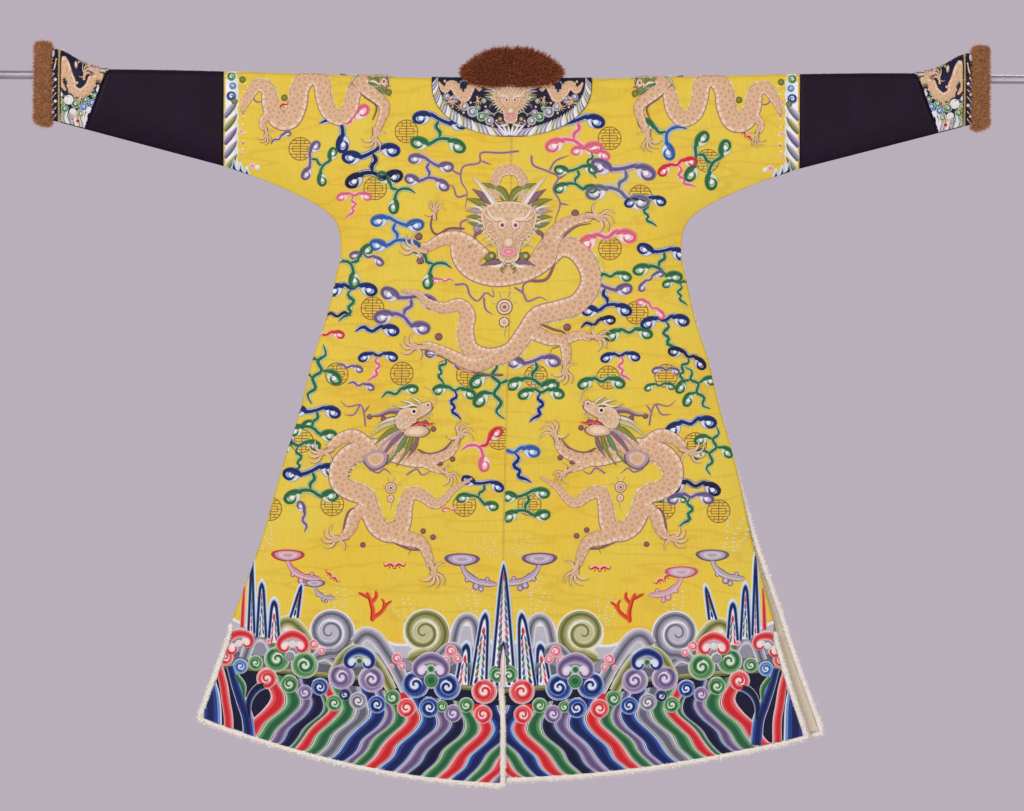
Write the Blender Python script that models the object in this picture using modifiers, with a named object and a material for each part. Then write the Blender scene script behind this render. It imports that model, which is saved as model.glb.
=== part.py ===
"""Semi-formal dragon robe with horse-hoof cuffs and fur edging, hung flat on a round rod.

Metres, +Z up. The origin is the rod's centre at the middle of its length. The back of the
robe faces -Y, so the wearer's right is at +X, where the front overlap closes.
"""

import math

import bmesh
import bpy

# ---------------------------------------------------------------- rod
ROD_RADIUS = 0.009
ROD_HALF_LENGTH = 1.08
ROD_RISE = 0.016  # how much higher the rod is at the sleeves than at its loaded middle
ROD_RISE_AT = 0.82
ROD_STEPS = 12

# ---------------------------------------------------------------- cloth
WALL = 0.003  # silk, interlining and fur lining together
SLEEVE_WALL = 0.002
BAND_WALL = 0.002
SEAM_GAP = 0.0003
RIDGE = 0.0126  # outer radius of the cloth where it lies over the rod
SEAM_DEPTH = 0.0034  # outer face of a closed side seam, from the middle plane
VENT_DEPTH = 0.0074  # the same where the side vents are open
FULL_DEPTH = 0.0175  # outer face of the flat of the body
EDGE_REACH = 0.060  # the cloth rounds off to its seams over this distance
CUFF_DEPTH = 0.0165
LAP = 0.0052  # the overlap lies this far outside the underlap
LAP_REACH = 0.038
UNDERLAP_EDGE = 0.042
UNDERLAP_SHORT = 0.020
CENTRE_DRIFT = -0.012  # the centre seam hangs this far to one side low down
DRIFT_FROM = -0.25
DRIFT_OVER = 0.75
SEAM_OPENS_FROM = -0.95  # the side seams thicken towards their vents from here down
SEAM_OPENS_OVER = 0.13
FULL_BELOW = 0.30  # the body reaches its full depth this far below the rod
VENT_LIFT = 0.0070  # the left half laps over the right one at the centre-back vent
VENT_LAP = 0.044
LIFTED_FROM = 0.008  # it lifts from this far below the vent's top
LIFTED_OVER = 0.06
LAPPED_FROM = 0.072  # and moves across from here, once it is clear
LAPPED_OVER = 0.04

# ---------------------------------------------------------------- openings and edges
NECK_HALF = 0.075
NECK_BACK = -0.003
NECK_FRONT = -0.062
NECK_BACK_POWER = 6
NECK_LEAST = 0.0005  # a narrower opening is taken as closed
BAND_HALF = 0.164
BAND_BACK = -0.107
BAND_FRONT = -0.130
BAND_RIGHT_FRONT = -0.050
BAND_LEAST = 0.008
BAND_POWER = 2.2
BAND_COLUMNS = 5
LAPEL_WIDTH = 0.040
LAPEL_ROWS = 14
LAPEL_COLUMNS = 4
SLOPE_STEP = 0.004
SIDE_VENT_TOP = -1.095
CENTRE_VENT_TOP = -1.160
VENT_START = 0.040  # length over which a vent's fur edging grows to its full size
VENT_TIP = 0.3  # size of the edging at its start
VENT_OPENS_OVER = 0.012
VENT_TUCK = 0.002
TUCKED_START = 0.0085  # the hem roll that ends under the lapping half starts this far in
BODY_SLEEVE_END = 0.590
CUFF_END = 0.9242
CUFF_BAND_START = 0.9308
PIPING_X = 0.9277
PIPING_RADIUS = 0.0024
CUFF_SEAM_GAP = 0.0009
CUFF_BAND_END = 0.9450
CUFF_SEAM_TOP = 0.820
CUFF_SEAM_BOTTOM = 0.875
CUFF_FLARE = 0.042  # how far the cuff's top stands up above the sleeve's
FLARE_FROM = 0.84
FLARE_OVER = 0.10
CUFF_SWELLS_FROM = 0.80
CUFF_SWELLS_OVER = 0.13
RIDGE_SHARE = 0.25  # share of a leaning seam's run that lies over the rod
SLEEVE_SHARES = (0.28, 0.52, 0.74, 0.90, 1.0)  # rows of a sleeve below the rod
SLEEVE_STATIONS = 5
SLEEVE_BOTTOM_END = (0.945, -0.076)
SLEEVE_BOTTOM_START = (0.590, -0.169)
TRIM_RADIUS = 0.0045
TRIM_GAP = 0.0005
TRIM_INSET = 0.0102  # edge of the cloth, in from the garment's outline
ROLL_START = 0.010  # a vent's roll starts this far below the vent's top
CORNER_SHARE = 0.95
LAP_ROLL_TOP = -0.342
UNDERLAP_CLEAR = 0.0010  # the overlap's roll keeps this clear of the underlap
UNDERLAP_AHEAD = 0.003
CLEAR_FROM = 0.08
CLEAR_OVER = 0.06
FUR_CENTRE = 0.9602
FUR_HALF_WIDTH = 0.0175
FUR_RADIUS = 0.008
FUR_OUT = 0.0065
FUR_RISE = 0.001
FUR_SQUARENESS = 0.6
FUR_STEPS = 8
COLLAR_FUR_STEPS = 10
LINING_WALL = 0.0012
LINING_INSET = 0.0015
LINING_LEAST = 0.002
LINING_CLEAR = 0.0008
LINING_COLUMNS = 3

# Half-width of the body, fur edging included, against height.
OUTLINE = (
    # z, half_width
    (-0.169, 0.590),
    (-0.201, 0.498),
    (-0.236, 0.420),
    (-0.261, 0.379),
    (-0.287, 0.357),
    (-0.318, 0.350),
    (-0.355, 0.350),
    (-0.390, 0.358),
    (-0.478, 0.378),
    (-0.564, 0.406),
    (-0.667, 0.431),
    (-0.755, 0.458),
    (-0.853, 0.486),
    (-0.931, 0.508),
    (-1.029, 0.543),
    (-1.093, 0.566),
    (-1.138, 0.580),
    (-1.210, 0.606),
    (-1.310, 0.643),
    (-1.345, 0.655),
)
RIGHT_INSET = 0.036  # the right back panel's edge stands in from the overlap's at the hem
RIGHT_INSET_TOP = -0.690
RIGHT_INSET_LOW = -1.330

# Hem: height at the centre seam, rise and half-width at the corner.
HEMS = {
    # piece: (centre, rise, half_width)
    "left": (-1.440, 0.137, 0.633),
    "right": (-1.429, 0.088, 0.615),
    "overlap": (-1.429, 0.096, 0.648),
}
HEM_POWER = 1.8
BEND_FROM = -0.90  # rows of the cloth follow the hem's curve from here down

# Upper edge of the overlap, from the neck to the armpit.
LAP_EDGE = (
    # z, x
    (-0.066, 0.016),
    (-0.074, 0.054),
    (-0.090, 0.100),
    (-0.125, 0.164),
    (-0.165, 0.220),
    (-0.225, 0.280),
    (-0.300, 0.325),
    (-0.338, 0.3395),
)

# The cloth's largest soft folds: where, which way they run, and how big.
FOLDS = (
    # face, x, z, half_length, angle_degrees, half_width, height
    (-1, 0.290, -0.200, 0.085, -65, 0.026, -0.0034),
    (-1, 0.330, -0.255, 0.060, -70, 0.020, 0.0022),
    (-1, -0.300, -0.235, 0.075, 60, 0.028, -0.0028),
    (-1, -0.200, -1.050, 0.150, 4, 0.024, -0.0022),
    (-1, 0.150, -1.085, 0.170, -3, 0.026, -0.0020),
    (-1, 0.400, -0.900, 0.240, -76, 0.040, 0.0026),
    (-1, -0.420, -1.000, 0.230, 74, 0.042, 0.0024),
    (1, 0.290, -0.215, 0.090, -64, 0.028, -0.0030),
    (1, -0.300, -0.225, 0.080, 62, 0.028, -0.0030),
    (1, -0.330, -0.900, 0.260, 78, 0.042, 0.0026),
    (1, 0.300, -0.950, 0.240, -80, 0.042, 0.0022),
)

RIDGE_STEPS = 4  # segments from the top of the rod to its side
BACK_ROWS = (
    -0.003, -0.020, -0.050, -0.085, -0.112, -0.137, -0.155, -0.169, -0.185, -0.201, -0.218,
    -0.236, -0.261, -0.287, -0.318, -0.355, -0.390, -0.434, -0.478, -0.564, -0.667, -0.755,
    -0.853, -0.900, -0.960, -1.020, -1.080, -1.130, -1.165, -1.178, -1.205, -1.250, -1.310,
    -1.375, -1.440,
)
FRONT_ROWS = (-0.020, -0.040, -0.055, -0.062) + BACK_ROWS[3:]
LAP_ROWS = (-0.066, -0.070, -0.074, -0.081, -0.090, -0.105, -0.125, -0.144, -0.165, -0.193,
            -0.225, -0.261, -0.300, -0.338) + BACK_ROWS[15:]
# Columns of the cloth: at these distances from the seam, evenly, and at these from the edge.
SEAM_STEPS = (0.0, 0.021, 0.042)
EVEN_COLUMNS = 3
EDGE_STEPS = (0.060, 0.030, 0.012, 0.0)
LEAST_MIDDLE = 0.01
WELD_DISTANCE = 0.00001
BAND_LIFT = 0.0040  # outer face of the lapel, out from the overlap's

COLOURS = {
    "yellow_silk": (0.80, 0.55, 0.06),
    "dark_silk": (0.020, 0.014, 0.026),
    "navy_silk": (0.012, 0.018, 0.060),
    "gold": (0.60, 0.40, 0.13),
    "brown_fur": (0.27, 0.12, 0.05),
    "cream_fur": (0.78, 0.72, 0.58),
    "steel": (0.45, 0.45, 0.46),
    "brass": (0.70, 0.48, 0.16),
}
METALS = {"steel": 0.35, "brass": 0.30}


def material(name):
    """A plain material of the named colour."""
    if name in bpy.data.materials:
        return bpy.data.materials[name]
    new = bpy.data.materials.new(name)
    new.use_nodes = True
    shader = new.node_tree.nodes["Principled BSDF"]
    shader.inputs["Base Color"].default_value = (*COLOURS[name], 1)
    shader.inputs["Metallic"].default_value = 1.0 if name in METALS else 0.0
    shader.inputs["Roughness"].default_value = METALS.get(name, 0.85)
    return new


def smoothstep(value):
    value = min(max(value, 0.0), 1.0)
    return value * value * (3 - 2 * value)


def table_value(table, key):
    """The second column of a table at a key of its first one, along a smooth curve."""
    rows = sorted(table)
    if key <= rows[0][0]:
        return rows[0][1]
    if key >= rows[-1][0]:
        return rows[-1][1]
    i = next(n for n in range(len(rows) - 1) if rows[n][0] <= key <= rows[n + 1][0])
    (k0, v0), (k1, v1) = rows[i], rows[i + 1]
    before, after = rows[max(i - 1, 0)], rows[min(i + 2, len(rows) - 1)]
    step = k1 - k0
    slope0 = (v1 - before[1]) / (k1 - before[0]) * step
    slope1 = (after[1] - v0) / (after[0] - k0) * step
    f = (key - k0) / step
    return (
        (1 + 2 * f) * (1 - f) ** 2 * v0
        + f * (1 - f) ** 2 * slope0
        + f * f * (3 - 2 * f) * v1
        + f * f * (f - 1) * slope1
    )


# ================================================================ the garment's shape
def rod_height(x):
    """Height of the rod's centre line, which sags under the robe."""
    return ROD_RISE * math.sin(math.pi / 2 * min(abs(x) / ROD_RISE_AT, 1)) ** 2


def centre_x(z):
    """Where the centre seam hangs at a height."""
    return CENTRE_DRIFT * smoothstep((DRIFT_FROM - z) / DRIFT_OVER)


def half_width(z, side):
    """Distance of a side's outline from the middle, fur edging included."""
    width = table_value(OUTLINE, z)
    if side > 0:
        width -= RIGHT_INSET * smoothstep((RIGHT_INSET_TOP - z) / (RIGHT_INSET_TOP - RIGHT_INSET_LOW))
    return width


def hem_height(x, piece):
    centre, rise, width = HEMS[piece]
    return centre + rise * (abs(x - CENTRE_DRIFT) / width) ** HEM_POWER


def edge_distance(x, z, side):
    """How far a point of the cloth lies inside the side seam and the sleeve's lower edge."""
    outline = [SLEEVE_BOTTOM_END, SLEEVE_BOTTOM_START]
    outline += [(half_width(row, side), row) for row, _ in OUTLINE[1:]]
    if z < OUTLINE[4][0] and abs(x) > half_width(z, side):
        return 0.0
    nearest = 1.0
    for (x0, z0), (x1, z1) in zip(outline, outline[1:]):
        dx, dz = x1 - x0, z1 - z0
        f = ((abs(x) - x0) * dx + (z - z0) * dz) / (dx * dx + dz * dz)
        f = min(max(f, 0), 1)
        nearest = min(nearest, math.hypot(abs(x) - x0 - f * dx, z - z0 - f * dz))
    return nearest


def fold_height(x, z, face):
    """The soft folds of one face of the robe, added together."""
    total = 0.0
    for on_face, fold_x, fold_z, length, angle, width, height in FOLDS:
        if on_face != face:
            continue
        along = math.cos(math.radians(angle)), math.sin(math.radians(angle))
        a = (x - fold_x) * along[0] + (z - fold_z) * along[1]
        b = (z - fold_z) * along[0] - (x - fold_x) * along[1]
        if abs(a) < length:
            total += height * math.cos(math.pi / 2 * a / length) ** 2 * math.exp(-((b / width) ** 2))
    return total


def ridge_half(x):
    """Half the thickness of the robe at the rod; the cuffs stand a little wider."""
    return RIDGE + (CUFF_DEPTH - RIDGE) * smoothstep((abs(x) - CUFF_SWELLS_FROM) / CUFF_SWELLS_OVER)


def wall_depth(x, z, face, side):
    """Distance of the cloth's outer face from the middle plane, below the rod."""
    seam = SEAM_DEPTH + (VENT_DEPTH - SEAM_DEPTH) * smoothstep((SEAM_OPENS_FROM - z) / SEAM_OPENS_OVER)
    full = ridge_half(x) + (FULL_DEPTH - RIDGE) * smoothstep((rod_height(x) - z) / FULL_BELOW)
    reach = math.sin(math.pi / 2 * min(edge_distance(x, z, side) / EDGE_REACH, 1))
    depth = seam + (full - seam) * reach + fold_height(x, z, face) * reach
    if face < 0 and side < 0:
        depth += VENT_LIFT * smoothstep(1 - (centre_x(z) - x) / VENT_LAP) * vent_lifted(z)
    return depth


def cuff_flare(x):
    return CUFF_FLARE * smoothstep((abs(x) - FLARE_FROM) / FLARE_OVER)


def cloth_point(x, t, side, lift=0.0):
    """A point of the cloth's outer face, moved out by lift.

    t runs from the back to the front: within 1 of 0 it goes over the rod, and past that
    its excess is the depth below the rod's middle, in metres.
    """
    if abs(t) <= 1:
        angle = t * math.pi / 2
        half, rise = ridge_half(x) + lift, RIDGE + cuff_flare(x) + lift
        return (x, half * math.sin(angle), rod_height(x) + rise * math.cos(angle))
    face = 1 if t > 0 else -1
    z = 1 - abs(t)
    return (x, face * (wall_depth(x, z, face, side) + lift), z)


def bent(z, x, piece):
    """A row's height at x, once the lower rows are bent to the hem of a piece."""
    if z >= BEND_FROM:
        return z
    if piece == "underlap":
        hem = hem_height(x, "right") + UNDERLAP_SHORT
    else:
        hem = hem_height(x, piece) + TRIM_INSET
    return BEND_FROM + (hem - BEND_FROM) * (BEND_FROM - z) / (BEND_FROM - BACK_ROWS[-1])


def vent_growth(z, top):
    """0 above a vent and 1 a short way below its top."""
    return smoothstep((top - z) / VENT_START)


def vent_lifted(z):
    """How far the left half has come to lie over the right one at the centre-back vent."""
    return smoothstep((CENTRE_VENT_TOP - LIFTED_FROM - z) / LIFTED_OVER)


def vent_lapped(z):
    """How far its edge has moved across, which follows once it is clear of the right half."""
    return smoothstep((CENTRE_VENT_TOP - LAPPED_FROM - z) / LAPPED_OVER)


def side_edge(z, side):
    """Outer edge of a back or front panel's cloth, inside its fur edging."""
    if z > OUTLINE[0][0]:
        return BODY_SLEEVE_END
    return half_width(z, side) - TRIM_INSET * vent_growth(z, SIDE_VENT_TOP)


# ================================================================ making objects
def add_to_model(obj, colour):
    obj.data.materials.append(material(colour))
    model.objects.link(obj)
    return obj


def grid_object(name, rows, colour, flip=False, closed=False):
    """An open surface through rows of points; closed joins each row's two ends."""
    mesh = bpy.data.meshes.new(name)
    bm = bmesh.new()
    made = [[bm.verts.new(point) for point in row] for row in rows]
    for low, high in zip(made, made[1:]):
        count = len(low)
        for j in range(count if closed else count - 1):
            k = (j + 1) % count
            quad = [low[j], low[k], high[k], high[j]]
            bm.faces.new(quad[::-1] if flip else quad)
    bm.to_mesh(mesh)
    bm.free()
    mesh.shade_smooth()
    return add_to_model(bpy.data.objects.new(name, mesh), colour)


def thicken(obj, wall):
    """Cloth thickness, grown inwards from the outer face."""
    solid = obj.modifiers.new("wall", "SOLIDIFY")
    solid.thickness = wall
    solid.offset = -1
    return obj


def tube_object(name, points, radius, colour, sizes=None, cyclic=False, resolution=1):
    """A round roll through a path of points; sizes scale its radius at each point."""
    curve = bpy.data.curves.new(name, "CURVE")
    curve.dimensions = "3D"
    curve.bevel_depth = radius
    curve.bevel_resolution = resolution
    curve.use_fill_caps = True
    spline = curve.splines.new("POLY")
    spline.points.add(len(points) - 1)
    spline.use_cyclic_u = cyclic
    for i, point in enumerate(points):
        spline.points[i].co = (*point, 1)
        spline.points[i].radius = sizes[i] if sizes else 1.0
    return add_to_model(bpy.data.objects.new(name, curve), colour)


def columns(inner, outer):
    """Places across a piece: closer ones near its seam and its edge, even ones between."""
    start, end = inner + SEAM_STEPS[-1], outer - EDGE_STEPS[0]
    count = len(SEAM_STEPS) + EVEN_COLUMNS + len(EDGE_STEPS)
    if end - start < LEAST_MIDDLE:
        return [inner + (outer - inner) * n / (count - 1) for n in range(count)]
    even = [start + (end - start) * (n + 1) / (EVEN_COLUMNS + 1) for n in range(EVEN_COLUMNS)]
    return [inner + step for step in SEAM_STEPS] + even + [outer - step for step in EDGE_STEPS]


# ================================================================ body halves
def neck_edge(t, side):
    """Half-width of the neck opening along the path from back to front."""
    if t < 0:
        edge = NECK_HALF * math.sqrt(max(1 - (-t / (1 - NECK_BACK)) ** NECK_BACK_POWER, 0))
    elif t <= 1:
        edge = NECK_HALF
    else:
        edge = NECK_HALF * math.sqrt(max(1 - ((1 - t) / NECK_FRONT) ** 2, 0))
    if side > 0 and t > 1:
        edge = max(edge, UNDERLAP_EDGE)
    return edge


def inner_edge(t, side):
    """Distance from the middle to a body half's edge at the neck, seam or vent."""
    neck = neck_edge(t, side)
    if neck > NECK_LEAST:
        return side * neck
    z = 1 - abs(t)
    seam = centre_x(z) + side * SEAM_GAP / 2
    if side < 0:
        size = max(vent_growth(z, CENTRE_VENT_TOP), VENT_TIP)
        inset = (2 * TRIM_RADIUS * size + TRIM_GAP) * smoothstep((CENTRE_VENT_TOP - z) / VENT_OPENS_OVER)
        return seam - inset + (TRIM_RADIUS * vent_lapped(z) if t < 0 else 0)
    return seam - (VENT_TUCK * vent_lapped(z) if t < 0 else 0)


def body_row(t, side):
    """One row of points across a body half, from its inner to its outer edge."""
    z = 1 - abs(t)
    piece = "left" if side < 0 else ("right" if t < 0 else "underlap")
    if abs(t) <= 1:
        outer = BODY_SLEEVE_END
    else:
        outer = side_edge(z, side)
        for _ in range(4):
            outer = side_edge(bent(z, side * outer, piece), side)
    inner_t = math.copysign(1 - bent(z, CENTRE_DRIFT, piece), t) if abs(t) > 1 else t
    inner = inner_edge(inner_t, side)
    if t > 1 and side > 0 and z < NECK_FRONT:
        inner = centre_x(z) + UNDERLAP_EDGE
    row = []
    for across in columns(side * inner, outer):
        x = side * across
        row_t = t if abs(t) <= 1 else math.copysign(1 - bent(z, x, piece), t)
        row.append(cloth_point(x, row_t, side))
    return row


def body_rows(side):
    ridge = [n / RIDGE_STEPS for n in range(-RIDGE_STEPS, RIDGE_STEPS + 1)]
    path = [z - 1 for z in reversed(BACK_ROWS)] + ridge + [1 - z for z in FRONT_ROWS]
    return [body_row(t, side) for t in path]


def make_body(name, side):
    thicken(grid_object(name, body_rows(side), "yellow_silk", flip=side < 0), WALL)


# ================================================================ overlap, lapel, lining
def lap_edge(z):
    """Outer edge of the overlap's cloth, inside its fur edging."""
    if z > LAP_EDGE[-1][0]:
        return table_value(LAP_EDGE, z)
    return table_value(OUTLINE, z) - TRIM_INSET - SEAM_GAP


def lap_lift(x, z):
    """The overlap is sewn to the left front at the centre and lies over the underlap."""
    return LAP * smoothstep((x - centre_x(z)) / LAP_REACH)


def lap_point(x, z, lift=0.0):
    return cloth_point(x, 1 - z, 1, lap_lift(x, z) + lift)


def overlap_rows():
    rows = []
    for z in LAP_ROWS:
        outer = lap_edge(z)
        for _ in range(4):
            outer = lap_edge(bent(z, outer, "overlap"))
        vent_z = bent(z, CENTRE_DRIFT, "overlap")
        vent = (2 * TRIM_RADIUS + TRIM_GAP) * vent_growth(vent_z, CENTRE_VENT_TOP)
        across = columns(centre_x(vent_z) + SEAM_GAP / 2 + vent, outer)
        rows.append([lap_point(x, bent(z, x, "overlap")) for x in across])
    return rows


def make_overlap():
    thicken(grid_object("front_overlap", overlap_rows(), "yellow_silk"), WALL)


def make_lapel():
    """The dark band along the overlap's curved upper edge."""
    rows = []
    for z in LAP_ROWS[:LAPEL_ROWS]:
        outer = lap_edge(z)
        ahead, behind = lap_edge(z - SLOPE_STEP), lap_edge(min(z + SLOPE_STEP, LAP_ROWS[0]))
        slope = (ahead - behind) / (2 * SLOPE_STEP)
        width = min(LAPEL_WIDTH * math.hypot(1, slope), outer - SEAM_GAP * 2)
        across = [outer - width * (1 - n / LAPEL_COLUMNS) for n in range(LAPEL_COLUMNS + 1)]
        rows.append([lap_point(x, z, BAND_LIFT) for x in across])
    thicken(grid_object("lapel_band", rows, "navy_silk"), BAND_WALL)


def make_lining_strip():
    """The overlap's lining, where it stands out past the right back panel."""
    rows = []
    for row in overlap_rows():
        edge_x, _, edge_z = row[-1]
        inner, outer = half_width(edge_z, 1) + LINING_CLEAR, edge_x - LINING_INSET
        if outer - inner > LINING_LEAST:
            across = [inner + (outer - inner) * n / LINING_COLUMNS for n in range(LINING_COLUMNS + 1)]
            low = hem_height(edge_x, "overlap") + TRIM_INSET + SEAM_GAP
            rows.append([lap_point(x, max(edge_z, low), -WALL - SEAM_GAP) for x in across])
    thicken(grid_object("overlap_lining", rows, "cream_fur"), LINING_WALL)


# ================================================================ sleeves and cuffs
def sleeve_bottom(x):
    (x0, z0), (x1, z1) = SLEEVE_BOTTOM_START, SLEEVE_BOTTOM_END
    return z0 + (z1 - z0) * (abs(x) - x0) / (x1 - x0)


def sleeve_ring(x_top, x_bottom, side, lift=0.0, shift=0.0):
    """A closed ring of points round a sleeve, which may lean from top to bottom."""
    ridge = [n / RIDGE_STEPS for n in range(-RIDGE_STEPS, RIDGE_STEPS + 1)]
    ring = []
    back, front = [(-1, f) for f in reversed(SLEEVE_SHARES)], [(1, f) for f in SLEEVE_SHARES]
    for face, share in back + [(0, t) for t in ridge] + front:
        if face == 0:
            lean = RIDGE_SHARE * (1 - math.cos(share * math.pi / 2))
        else:
            lean = RIDGE_SHARE + (1 - RIDGE_SHARE) * share
        x = x_top + (x_bottom - x_top) * lean
        if face == 0:
            point = cloth_point(x, share, side, lift)
        else:
            z = rod_height(x) + (sleeve_bottom(x) - lift - rod_height(x)) * share
            inside = min(max(z, sleeve_bottom(x)), -0.0001)
            point = cloth_point(x, face * (1 - inside), side, lift)
            point = (point[0], point[1], z)
        ring.append((side * point[0], point[1], point[2] + shift))
    return ring


def make_tube(name, side, start, end, wall, colour, stations):
    """A length of sleeve from one leaning seam to another, each as (x at top, x at bottom)."""
    rows = []
    for n in range(stations + 1):
        f = n / stations
        rows.append(sleeve_ring(*(a + (b - a) * f for a, b in zip(start, end)), side))
    thicken(grid_object(name, rows, colour, flip=side > 0, closed=True), wall)


def make_sleeve(suffix, side):
    sleeve_start = (BODY_SLEEVE_END + SEAM_GAP,) * 2
    seam = (CUFF_SEAM_TOP, CUFF_SEAM_BOTTOM)
    cuff_seam = tuple(x + CUFF_SEAM_GAP for x in seam)
    make_tube(f"middle_sleeve_{suffix}", side, sleeve_start, seam, SLEEVE_WALL, "dark_silk",
              SLEEVE_STATIONS)
    make_tube(f"cuff_{suffix}", side, cuff_seam, (CUFF_END,) * 2, WALL, "navy_silk", SLEEVE_STATIONS)
    band = ((CUFF_BAND_START,) * 2, (CUFF_BAND_END,) * 2)
    make_tube(f"cuff_band_{suffix}", side, *band, WALL, "navy_silk", 1)
    path = sleeve_ring(PIPING_X, PIPING_X, side, -WALL / 2)
    tube_object(f"cuff_piping_{suffix}", path, PIPING_RADIUS, "gold", cyclic=True)


def make_cuff_fur(suffix, side):
    """A thick ring of fur round the cuff's open end."""
    rows = []
    for n in range(FUR_STEPS):
        angle = 2 * math.pi * n / FUR_STEPS
        across, out = math.cos(angle), math.sin(angle)
        x = FUR_CENTRE + FUR_HALF_WIDTH * math.copysign(abs(across) ** FUR_SQUARENESS, across)
        lift = FUR_OUT + FUR_RADIUS * math.copysign(abs(out) ** FUR_SQUARENESS, out)
        rows.append(sleeve_ring(x, x, side, lift, FUR_RISE))
    rows.append(rows[0])
    fur = grid_object(f"cuff_fur_{suffix}", rows, "brown_fur", flip=side < 0, closed=True)
    weld(fur)


def weld(obj):
    """Join the points that a shape's last row shares with its first."""
    bm = bmesh.new()
    bm.from_mesh(obj.data)
    bmesh.ops.remove_doubles(bm, verts=bm.verts, dist=WELD_DISTANCE)
    bm.to_mesh(obj.data)
    bm.free()


# ================================================================ collar
def band_row(t, side):
    """A row of the collar band from the neck opening to its outer edge."""
    z = 1 - abs(t)
    if abs(t) <= 1:
        outer = BAND_HALF
    else:
        low = BAND_BACK if t < 0 else (BAND_FRONT if side < 0 else BAND_RIGHT_FRONT)
        outer = BAND_HALF * math.sqrt(max(1 - (z / low) ** BAND_POWER, 0))
    inner = neck_edge(t, -1)
    inner = inner if inner > NECK_LEAST else 0.0
    if t > 1:
        inner = max(inner, SEAM_GAP)
    outer = max(outer, inner + BAND_LEAST)
    across = [inner + (outer - inner) * n / BAND_COLUMNS for n in range(BAND_COLUMNS + 1)]
    return [cloth_point(side * x, t, side, BAND_WALL + SEAM_GAP) for x in across]


def make_collar_band():
    """The dark band round the neck: a U behind, and a shorter corner on the right front."""
    ridge = [n / RIDGE_STEPS for n in range(-RIDGE_STEPS, RIDGE_STEPS + 1)]
    back = [z - 1 for z in (-0.1060, -0.100, -0.085, -0.066, -0.050, -0.035, -0.020, -0.003)]
    fronts = {
        -1: (-0.020, -0.040, -0.055, -0.062, -0.080, -0.100, -0.118, -0.1285),
        1: (-0.020, -0.034, -0.045, -0.0492),
    }
    mesh = bpy.data.meshes.new("collar_band")
    bm = bmesh.new()
    for side, front in fronts.items():
        path = back + ridge + [1 - z for z in front]
        made = [[bm.verts.new(point) for point in band_row(t, side)] for t in path]
        for low, high in zip(made, made[1:]):
            for j in range(len(low) - 1):
                quad = [low[j], low[j + 1], high[j + 1], high[j]]
                bm.faces.new(quad[::-1] if side < 0 else quad)
    bmesh.ops.remove_doubles(bm, verts=bm.verts, dist=WELD_DISTANCE)
    bm.to_mesh(mesh)
    bm.free()
    mesh.shade_smooth()
    thicken(add_to_model(bpy.data.objects.new("collar_band", mesh), "navy_silk"), BAND_WALL)


# The fur collar from the centre back, over the shoulder, to the centre front.
COLLAR_FUR = (
    # x, y, z_low, z_high, half_thickness
    (0.0003, -0.0238, -0.003, 0.0760, 0.0085),
    (0.0200, -0.0238, -0.003, 0.0750, 0.0085),
    (0.0400, -0.0236, -0.003, 0.0715, 0.0085),
    (0.0600, -0.0233, -0.002, 0.0640, 0.0082),
    (0.0760, -0.0224, 0.000, 0.0540, 0.0078),
    (0.0870, -0.0190, 0.006, 0.0440, 0.0074),
    (0.0920, -0.0100, 0.0165, 0.0370, 0.0070),
    (0.0930, 0.0000, 0.0165, 0.0345, 0.0070),
    (0.0920, 0.0100, 0.0165, 0.0335, 0.0070),
    (0.0860, 0.0195, 0.0040, 0.0260, 0.0070),
    (0.0760, 0.0236, -0.0160, 0.0080, 0.0075),
    (0.0560, 0.0239, -0.0390, -0.0180, 0.0075),
    (0.0300, 0.0240, -0.0560, -0.0370, 0.0075),
    (0.0003, 0.0240, -0.0620, -0.0440, 0.0075),
)


def make_collar_fur(suffix, side):
    """Half of the fur collar, a loft of upright rounded sections."""
    rows = []
    last = len(COLLAR_FUR) - 1
    for i, (x, y, low, high, half) in enumerate(COLLAR_FUR):
        before, after = COLLAR_FUR[max(i - 1, 0)], COLLAR_FUR[min(i + 1, last)]
        along = math.atan2(after[1] - before[1], after[0] - before[0])
        if i in (0, last):
            along = 0.0 if i == 0 else math.pi
        across = (math.sin(along), -math.cos(along))
        ring = []
        for n in range(COLLAR_FUR_STEPS):
            angle = 2 * math.pi * n / COLLAR_FUR_STEPS
            out = half * math.cos(angle)
            height = (low + high) / 2 + (high - low) / 2 * math.sin(angle)
            ring.append((side * (x + across[0] * out), y + across[1] * out, height))
        rows.append(ring)
    fur = grid_object(f"collar_fur_{suffix}", rows, "brown_fur", flip=side > 0, closed=True)
    bm = bmesh.new()
    bm.from_mesh(fur.data)
    bmesh.ops.holes_fill(bm, edges=[e for e in bm.edges if e.is_boundary], sides=COLLAR_FUR_STEPS)
    bmesh.ops.recalc_face_normals(bm, faces=bm.faces)
    bm.to_mesh(fur.data)
    bm.free()


# ================================================================ fur edging
def roll_beside(edge, sizes, outward):
    """Middles of a roll beside an edge of the cloth, as (x, y, z, size).

    outward is the sense in which the edge turns to point out of the cloth, in the x-z plane.
    """
    places = []
    last = len(edge) - 1
    for i, ((x, y, z), size) in enumerate(zip(edge, sizes)):
        before, after = edge[max(i - 1, 0)], edge[min(i + 1, last)]
        run = math.hypot(after[0] - before[0], after[2] - before[2])
        out_x = outward * (before[2] - after[2]) / run
        out_z = outward * (after[0] - before[0]) / run
        away = TRIM_RADIUS * size + TRIM_GAP
        places.append((x + out_x * away, y, z + out_z * away, size))
    return places


def roll_corner(corner, side):
    """The middle of the roll where it turns round a panel's lower corner."""
    away = (TRIM_RADIUS + TRIM_GAP) * CORNER_SHARE
    return (corner[0] + side * away, corner[1], corner[2] - away, 1.0)


def make_roll(name, places, shift):
    """A roll through its middles, each moved in or out by shift(x, y, z)."""
    path = [(x, y + shift(x, y, z), z) for x, y, z, _ in places]
    tube_object(name, path, TRIM_RADIUS, "cream_fur", [size for *_, size in places])


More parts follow.
